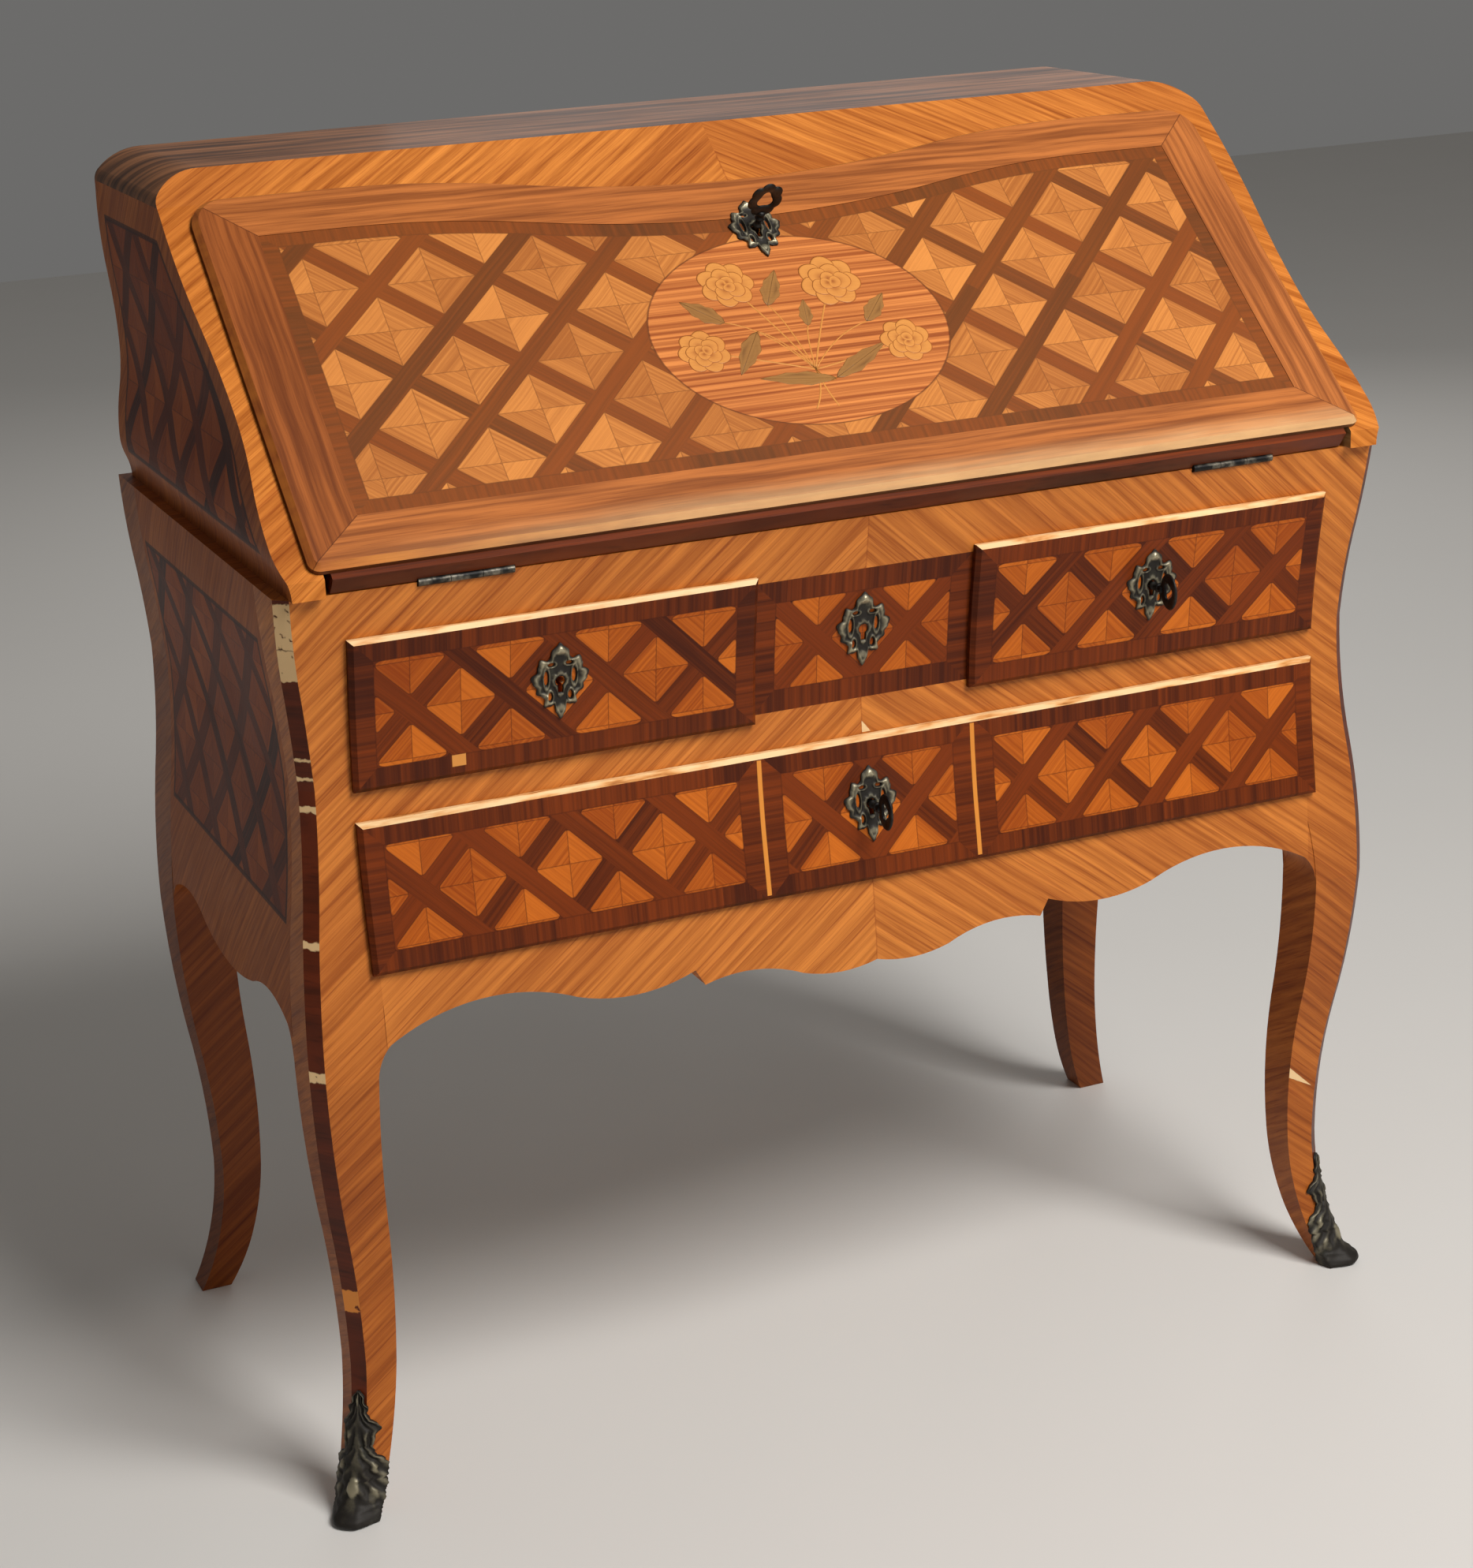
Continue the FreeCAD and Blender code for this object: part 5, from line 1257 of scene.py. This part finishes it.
def knee_piece(name, leg_node, board_node, along, face, finish):
    """Block that rounds the corner between a leg and the shaped board that meets it."""
    leg = surface(leg_node)
    board = surface(board_node)
    corners = (v.co for v in NODES[board_node].data.vertices)
    tip = max(corners, key=lambda p: p.dot(along) + p.dot(face) * 0.01 - p.z * 3)

    def place(reach, rise, out):
        return tip + along * reach + UP * rise + face * out

    low = face_at(leg, place(-0.1, -KNEE_DROP, -KNEE_BEHIND), along)
    under = face_at(board, place(-KNEE_REACH, -0.3, -KNEE_BEHIND), UP)
    behind = face_at(board, place(-0.003, 0.012, -0.3), face)
    start = Vector(((low - tip).dot(along) + KNEE_SHY, -KNEE_DROP))
    bend = Vector((start.x, KNEE_BEND))
    end = Vector((-KNEE_REACH, under.z - tip.z + KNEE_SHY))
    back = (behind - tip).dot(face) + KNEE_SHY
    steps = 18
    rim = [Vector(KNEE_TOP)]
    for step in range(steps + 1):
        t = step / steps
        rim.append(start * (1 - t) ** 2 + bend * (2 * t * (1 - t)) + end * t * t)
    points = []
    for reach, rise in rim:
        front = face_at(leg, place(KNEE_BESIDE, rise, 0.5), -face)
        points.append(place(reach, rise, (front - tip).dot(face) - KNEE_SHY))
    points += [place(reach, rise, back) for reach, rise in rim]
    count = len(rim)
    faces = [(0, n, n + 1) for n in range(1, count - 1)]
    faces += [(count, count + n + 1, count + n) for n in range(1, count - 1)]
    faces += grid_faces(2, count)
    piece = make_piece(name, points, faces, finish, "case")
    piece.data.shade_flat()
    return piece


def on_field(place, level):
    """Point on the fall's field, out from its face by a level."""
    up = FALL_UP * (FIELD_FOOT + place.imag)
    return FALL_KEY + RIGHT * place.real + up + FALL_OUT * (FIELD_FACE + level)


class Inlay:
    """Thin cut pieces of one wood on the fall, gathered in one mesh."""

    def __init__(self):
        self.points = []
        self.faces = []
        self.shade = []

    def row(self, outline, level, shade):
        """One row of points at a level."""
        self.points += [on_field(place, level) for place in outline]
        self.shade += [shade] * len(outline)

    def cut(self, outline, root, level, root_shade=0.15):
        """One piece, shaded from its root to just inside its edge, with a dark cut line round it."""
        count = len(outline)
        start = len(self.points)
        rings = ((1.0, -INLAY_SUNK, 0.0), (1.0, level, 0.0), (0.90, level, 1.0), (0.45, level, 0.62))
        for share, height, shade in rings:
            self.row([root + (place - root) * share for place in outline], height, shade)
        top = len(self.points)
        last = top - count
        self.row([root], level, root_shade)
        self.faces += grid_faces(len(rings), count, start)
        self.faces += [(last + n, last + (n + 1) % count, top) for n in range(count)]
        self.faces.append(tuple(reversed(range(start, start + count))))

    def petal(self, middle, heart, radius, level):
        """Round petal with a slightly lobed rim."""
        toward = (middle - heart) / abs(middle - heart)
        outline = []
        steps = 26
        for step in range(steps):
            angle = 2 * math.pi * step / steps
            rim = cmath.rect(radius * (1 + 0.06 * math.cos(3 * angle)), angle)
            outline.append(middle + toward * complex(rim.real * PETAL_SQUASH, rim.imag))
        self.cut(outline, middle + (heart - middle) * 0.45, level)

    def rose(self, heart, radius, turn):
        """Open rose of three rings of petals round a heart."""
        for number, (count, reach, size, level) in enumerate(ROSE_RINGS):
            for step in range(count):
                angle = turn + number * 0.5 + 2 * math.pi * step / count
                middle = heart + cmath.rect(radius * reach, angle)
                self.petal(middle, heart, radius * size, level + step * PETAL_STEP)

    def leaf(self, root, tip, wide):
        """Pointed leaf in two halves either side of its rib."""
        run = tip - root
        aside = run / abs(run) * 1j
        steps = 14
        for hand, root_shade in ((1, 0.9), (-1, 0.2)):
            outline = []
            for step in range(steps + 1):
                share = step / steps
                bulge = math.sin(math.pi * share ** 0.8) * wide * (1 + 0.12 * math.sin(share * 22))
                outline.append(root + run * share + aside * bulge * hand)
            self.cut(outline[::hand], sum(outline) / len(outline), LEAF_LEVEL, root_shade)

    def stem(self, root, bend, tip, wide=STEM_WIDE):
        """Thin curved stem."""
        left = []
        right = []
        steps = 12
        for step in range(steps + 1):
            t = step / steps
            at = root * (1 - t) ** 2 + 2 * bend * t * (1 - t) + tip * t * t
            way = (bend - root) * (1 - t) + (tip - bend) * t
            aside = way / abs(way) * 1j * wide / 2
            left.append(at + aside)
            right.append(at - aside)
        start = len(self.points)
        rows = ((left, STEM_LEVEL), (right, STEM_LEVEL), (right, -INLAY_SUNK), (left, -INLAY_SUNK))
        for outline, level in rows:
            self.row(outline, level, 0.9)
        self.faces += grid_faces(len(rows), steps + 1, start, ring=False, closed=True)
        ends = range(start, len(self.points), steps + 1)
        self.faces.append(tuple(ends))
        self.faces.append(tuple(end + steps for end in reversed(ends)))

    def piece(self, name, finish):
        return make_piece(name, self.points, self.faces, finish, "fall", {"shade": self.shade})


class DESK_OT_carcase(bpy.types.Operator):
    """Oak boards inside, behind and under the desk"""

    bl_idname = "desk.carcase"
    bl_label = "Carcase boards"

    def execute(self, context):
        shades = colours()
        upright = ["pigeonhole_partitions", "drawer_dividers", "upper_back", "lower_back"]
        deep = [n for n in NODES if "drawer_box" in n] + ["drawer_guides"]
        across = ["dust_board", "bottom_board", "writing_deck", "pigeonhole_shelf"]
        for run, names in ((2, upright), (1, deep), (0, across)):
            seed = run * 3.7
            oak = plain_wood("oak %d" % run, shades.oak_pale, shades.oak_deep, run, GRAIN_OAK, seed, 0.5)
            dress(names, oak)
            soften(names, sizes().ease * 0.6)
        # The fall's core takes the dark strip wood: the edges seen under the fall's lip are dark partly as
        # wood and partly as painted shade.
        brown = (shades.strip_pale, shades.strip_deep)
        dress(["fall_core"], plain_wood("dark core of the fall with painted shade", *brown, 0, GRAIN_CORE, 9.0))
        soften(["fall_core"], sizes().ease)
        return {"FINISHED"}


class DESK_OT_veneer(bpy.types.Operator):
    """Diagonal tulipwood on legs, knees, rails, apron and fascia"""

    bl_idname = "desk.veneer"
    bl_label = "Diagonal veneer"

    def execute(self, context):
        rails = ["top_rail", "middle_rail", "front_apron", "top_fascia"]
        legs = named("leg_")
        finish = leg_finish()
        dress(rails, rail_finish())
        dress(legs, finish)
        soften(legs + rails, sizes().ease, angle=30)
        for side, outward in (("left", -RIGHT), ("right", RIGHT)):
            panel = "side_panel_" + side
            rows = (
                ("knee_front_", "leg_front_", "front_apron", outward, FORWARD),
                ("knee_side_front_", "leg_front_", panel, FORWARD, outward),
                ("knee_side_rear_", "leg_rear_", panel, -FORWARD, outward),
            )
            for name, leg, board, along, face in rows:
                knee_piece(name + side, leg + side, board, along, face, finish)
        return {"FINISHED"}


class DESK_OT_drawers(bpy.types.Operator):
    """Lattice parquetry on the drawers and the fixed panel between them"""

    bl_idname = "desk.drawers"
    bl_label = "Drawer parquetry"

    def execute(self, context):
        fronts = ["upper_left_drawer_front", "upper_right_drawer_front", "lower_drawer_front"]
        for number, node in enumerate(fronts + ["centre_panel"]):
            dress([node], drawer_finish(node, 13.0 * number))
        soften(fronts, sizes().ease * 1.2, 3, 25)
        return {"FINISHED"}


class DESK_OT_sides(bpy.types.Operator):
    """Lattice parquetry on the lower and upper sides"""

    bl_idname = "desk.sides"
    bl_label = "Side parquetry"

    def execute(self, context):
        lower = named("side_panel_")
        upper = named("upper_side_")
        dress(lower, lower_side_finish())
        dress(upper, upper_side_finish())
        soften(lower + upper, sizes().ease)
        return {"FINISHED"}


class DESK_OT_top(bpy.types.Operator):
    """Plain brown top board and small drawer fronts"""

    bl_idname = "desk.top"
    bl_label = "Top and small drawers"

    def execute(self, context):
        shades = colours()
        fronts = named("small_drawer_front_")
        brown = (shades.walnut_pale, shades.walnut_deep)
        dress(fronts, plain_wood("walnut", *brown, 0, GRAIN_WALNUT, 6.0, 0.4, 1.2))
        dress(["top_board"], top_finish())
        soften(["top_board"] + fronts, sizes().ease)
        return {"FINISHED"}


class DESK_OT_fall(bpy.types.Operator):
    """Parquetry field, mitred frame and writing leather of the fall"""

    bl_idname = "desk.fall"
    bl_label = "Fall"

    def execute(self, context):
        dress(["fall_field"], field_finish())
        dress(["fall_frame"], frame_finish())
        dress(["fall_leather"], leather_finish())
        soften(["fall_frame"], sizes().ease * 1.6, 3, 25)
        return {"FINISHED"}


class DESK_OT_bouquet(bpy.types.Operator):
    """Inlaid bouquet of four roses in the medallion"""

    bl_idname = "desk.bouquet"
    bl_label = "Bouquet inlay"

    def execute(self, context):
        shades = colours()
        tie = BOUQUET_TIE
        roses = Inlay()
        leaves = Inlay()
        stems = Inlay()
        for number, (heart, radius) in enumerate(ROSES):
            stems.stem(tie, complex(heart.real * 0.35, (tie.imag + heart.imag) / 2 - 0.004), heart)
            roses.rose(heart, radius, 0.7 * number)
        for root, tip, wide in LEAVES:
            stems.stem(tie, complex((tie.real + root.real) / 2, root.imag - 0.006), root, STALK_WIDE)
            leaves.leaf(root, tip, wide)
        for tail in BOUQUET_TAILS:
            stems.stem(tie, complex(tie.real, (tie.imag + tail.imag) / 2), tail)
        stems.piece("bouquet_stems", inlay_finish("inlaid stems", shades.petal, shades.scorch, 3.0))
        leaves.piece("bouquet_leaves", inlay_finish("inlaid leaves", shades.leaf, shades.leaf_deep, 5.0))
        roses.piece("bouquet_roses", inlay_finish("inlaid roses", shades.petal, shades.scorch, 7.0))
        return {"FINISHED"}


class DESK_OT_plates(bpy.types.Operator):
    """Five cast key plates, four bent to the curved front and one on the fall"""

    bl_idname = "desk.plates"
    bl_label = "Key plates"

    def execute(self, context):
        finish = bronze("cast bronze of the plates", 1.0)
        upper = Vector(JOINTS["upper_right_drawer_key_turn"]["pos_m"])
        spots = {
            "upper_left_drawer": (-upper.x, upper.y, upper.z),
            "upper_right_drawer": upper,
            "lower_drawer": JOINTS["lower_drawer_key_turn"]["pos_m"],
        }
        for drawer, spot in spots.items():
            plate_piece(drawer + "_plate", Seat(spot, UP, FORWARD, drawer + "_front"), drawer, finish)
        plate_piece("centre_plate", Seat((0, upper.y, upper.z), UP, FORWARD, "centre_panel"), "case", finish)
        seat = Seat(FALL_KEY, FALL_UP, FALL_OUT, "fall_frame")
        flat = span("fall_frame", FALL_OUT, FALL_KEY)[1]
        plate_piece("fall_plate", seat, "fall", finish, FALL_PLATE_SCALE, flat)
        return {"FINISHED"}


class DESK_OT_keys(bpy.types.Operator):
    """Three keys with pierced bows"""

    bl_idname = "desk.keys"
    bl_label = "Keys"

    def execute(self, context):
        finish = steel("key steel", colours().steel_rubbed)
        for name in ("upper_right_drawer_key", "lower_drawer_key"):
            key_piece(name, Seat(JOINTS[name + "_turn"]["pos_m"], UP, FORWARD, name), UP, finish)
        seat = Seat(FALL_KEY, FALL_UP, FALL_OUT, "fall_key")
        key_piece("fall_key", seat, RIGHT, finish, FALL_BOW_LOBES, FALL_BOW_TALL)
        return {"FINISHED"}


class DESK_OT_shoes(bpy.types.Operator):
    """Two leafy cast shoes on the front feet"""

    bl_idname = "desk.shoes"
    bl_label = "Shoes"

    def execute(self, context):
        finish = bronze("cast bronze of the shoes", 0.75)
        for side in ("left", "right"):
            shoe_piece(side, finish)
        return {"FINISHED"}


class DESK_OT_ironwork(bpy.types.Operator):
    """Locks, bolts, hinges and the knobs of the small drawers"""

    bl_idname = "desk.ironwork"
    bl_label = "Locks, hinges and knobs"

    def execute(self, context):
        names = [n for n in NODES if n.endswith(("_lock", "_bolt")) or n.startswith("hinge_")]
        dress(names, steel("steel of locks and hinges", colours().hinge_rubbed))
        knobs = named("small_drawer_knob_")
        dress(knobs, bronze("bronze of the knobs"))
        soften(knobs, sizes().ease / 2, 2, 50)
        return {"FINISHED"}


class DESK_OT_stage(bpy.types.Operator):
    """Plain pale floor, soft studio light and the camera"""

    bl_idname = "desk.stage"
    bl_label = "Stage"

    def execute(self, context):
        self.floor(context.scene)
        self.lights(context.scene)
        self.camera(context.scene)
        context.scene.view_settings.view_transform = "Standard"
        return {"FINISHED"}

    def floor(self, scene):
        mesh = bpy.data.meshes.new("floor")
        signs = ((-1, -1), (1, -1), (1, 1), (-1, 1))
        corners = [(x * FLOOR_REACH, y * FLOOR_REACH, -FLOOR_BELOW) for x, y in signs]
        mesh.from_pydata(corners, [], [(0, 1, 2, 3)])
        plane = bpy.data.objects.new("floor", mesh)
        scene.collection.objects.link(plane)
        finish = Finish("pale floor")
        x, y, z = finish.where()
        slow = finish.noise(finish.vector(x * 3, y * 3, z), 4.0)
        pale = colours().floor
        shade = finish.mix(slow * 0.25, pale, [c * 0.86 for c in pale])
        finish.show(Base_Color=shade, Roughness=0.6 + slow * 0.2)
        mesh.materials.append(finish.material)

    def lights(self, scene):
        for name, at, aim, wide, power in LAMPS:
            lamp = bpy.data.lights.new(name, "AREA")
            lamp.shape = "SQUARE"
            lamp.size = wide
            lamp.energy = power
            holder = bpy.data.objects.new(name, lamp)
            holder.location = at
            holder.rotation_euler = (Vector(aim) - Vector(at)).to_track_quat("-Z", "Y").to_euler()
            scene.collection.objects.link(holder)
        world = bpy.data.worlds.new("studio")
        world.use_nodes = True
        shine = world.node_tree.nodes["Background"]
        shine.inputs["Color"].default_value = WORLD_COLOUR
        shine.inputs["Strength"].default_value = WORLD_STRENGTH
        scene.world = world

    def camera(self, scene):
        lens = bpy.data.cameras.new("camera")
        lens.sensor_fit = "AUTO"
        lens.sensor_width = SENSOR
        lens.lens = CAMERA_FOCAL / PHOTO_HIGH * SENSOR
        lens.shift_x = (PHOTO_WIDE / 2 - CAMERA_CENTRE[0]) / PHOTO_HIGH
        lens.shift_y = (CAMERA_CENTRE[1] - PHOTO_HIGH / 2) / PHOTO_HIGH
        lens.clip_start = 0.01
        view = bpy.data.objects.new("camera", lens)
        scene.collection.objects.link(view)
        level = (CAMERA_AIM - CAMERA_AT).to_track_quat("-Z", "Y").to_matrix()
        turn = level @ Matrix.Rotation(CAMERA_ROLL, 3, "Z")
        view.matrix_world = Matrix.Translation(CAMERA_AT) @ turn.to_4x4()
        scene.camera = view


OPERATORS = (
    DESK_OT_carcase, DESK_OT_veneer, DESK_OT_drawers, DESK_OT_sides, DESK_OT_top, DESK_OT_fall,
    DESK_OT_bouquet, DESK_OT_plates, DESK_OT_keys, DESK_OT_shoes, DESK_OT_ironwork, DESK_OT_stage,
)


class DESK_PT_pieces(bpy.types.Panel):
    """Pieces of the desk, in the order that they are made"""

    bl_idname = "DESK_PT_pieces"
    bl_label = "Writing desk"
    bl_space_type = "VIEW_3D"
    bl_region_type = "UI"
    bl_category = "Desk"

    def draw(self, context):
        for operator in OPERATORS:
            self.layout.operator(operator.bl_idname)
        for group in (context.scene.desk_colours, context.scene.desk_sizes):
            for key in group.__annotations__:
                self.layout.prop(group, key)


CLASSES = (DeskColours, DeskSizes, *OPERATORS, DESK_PT_pieces)


def register():
    for each in CLASSES:
        bpy.utils.register_class(each)
    bpy.types.Scene.desk_colours = PointerProperty(type=DeskColours)
    bpy.types.Scene.desk_sizes = PointerProperty(type=DeskSizes)


def unregister():
    del bpy.types.Scene.desk_sizes
    del bpy.types.Scene.desk_colours
    for each in reversed(CLASSES):
        bpy.utils.unregister_class(each)


def main():
    register()
    for operator in OPERATORS:
        group, name = operator.bl_idname.split(".")
        getattr(getattr(bpy.ops, group), name)()


if __name__ == "__main__":
    main()
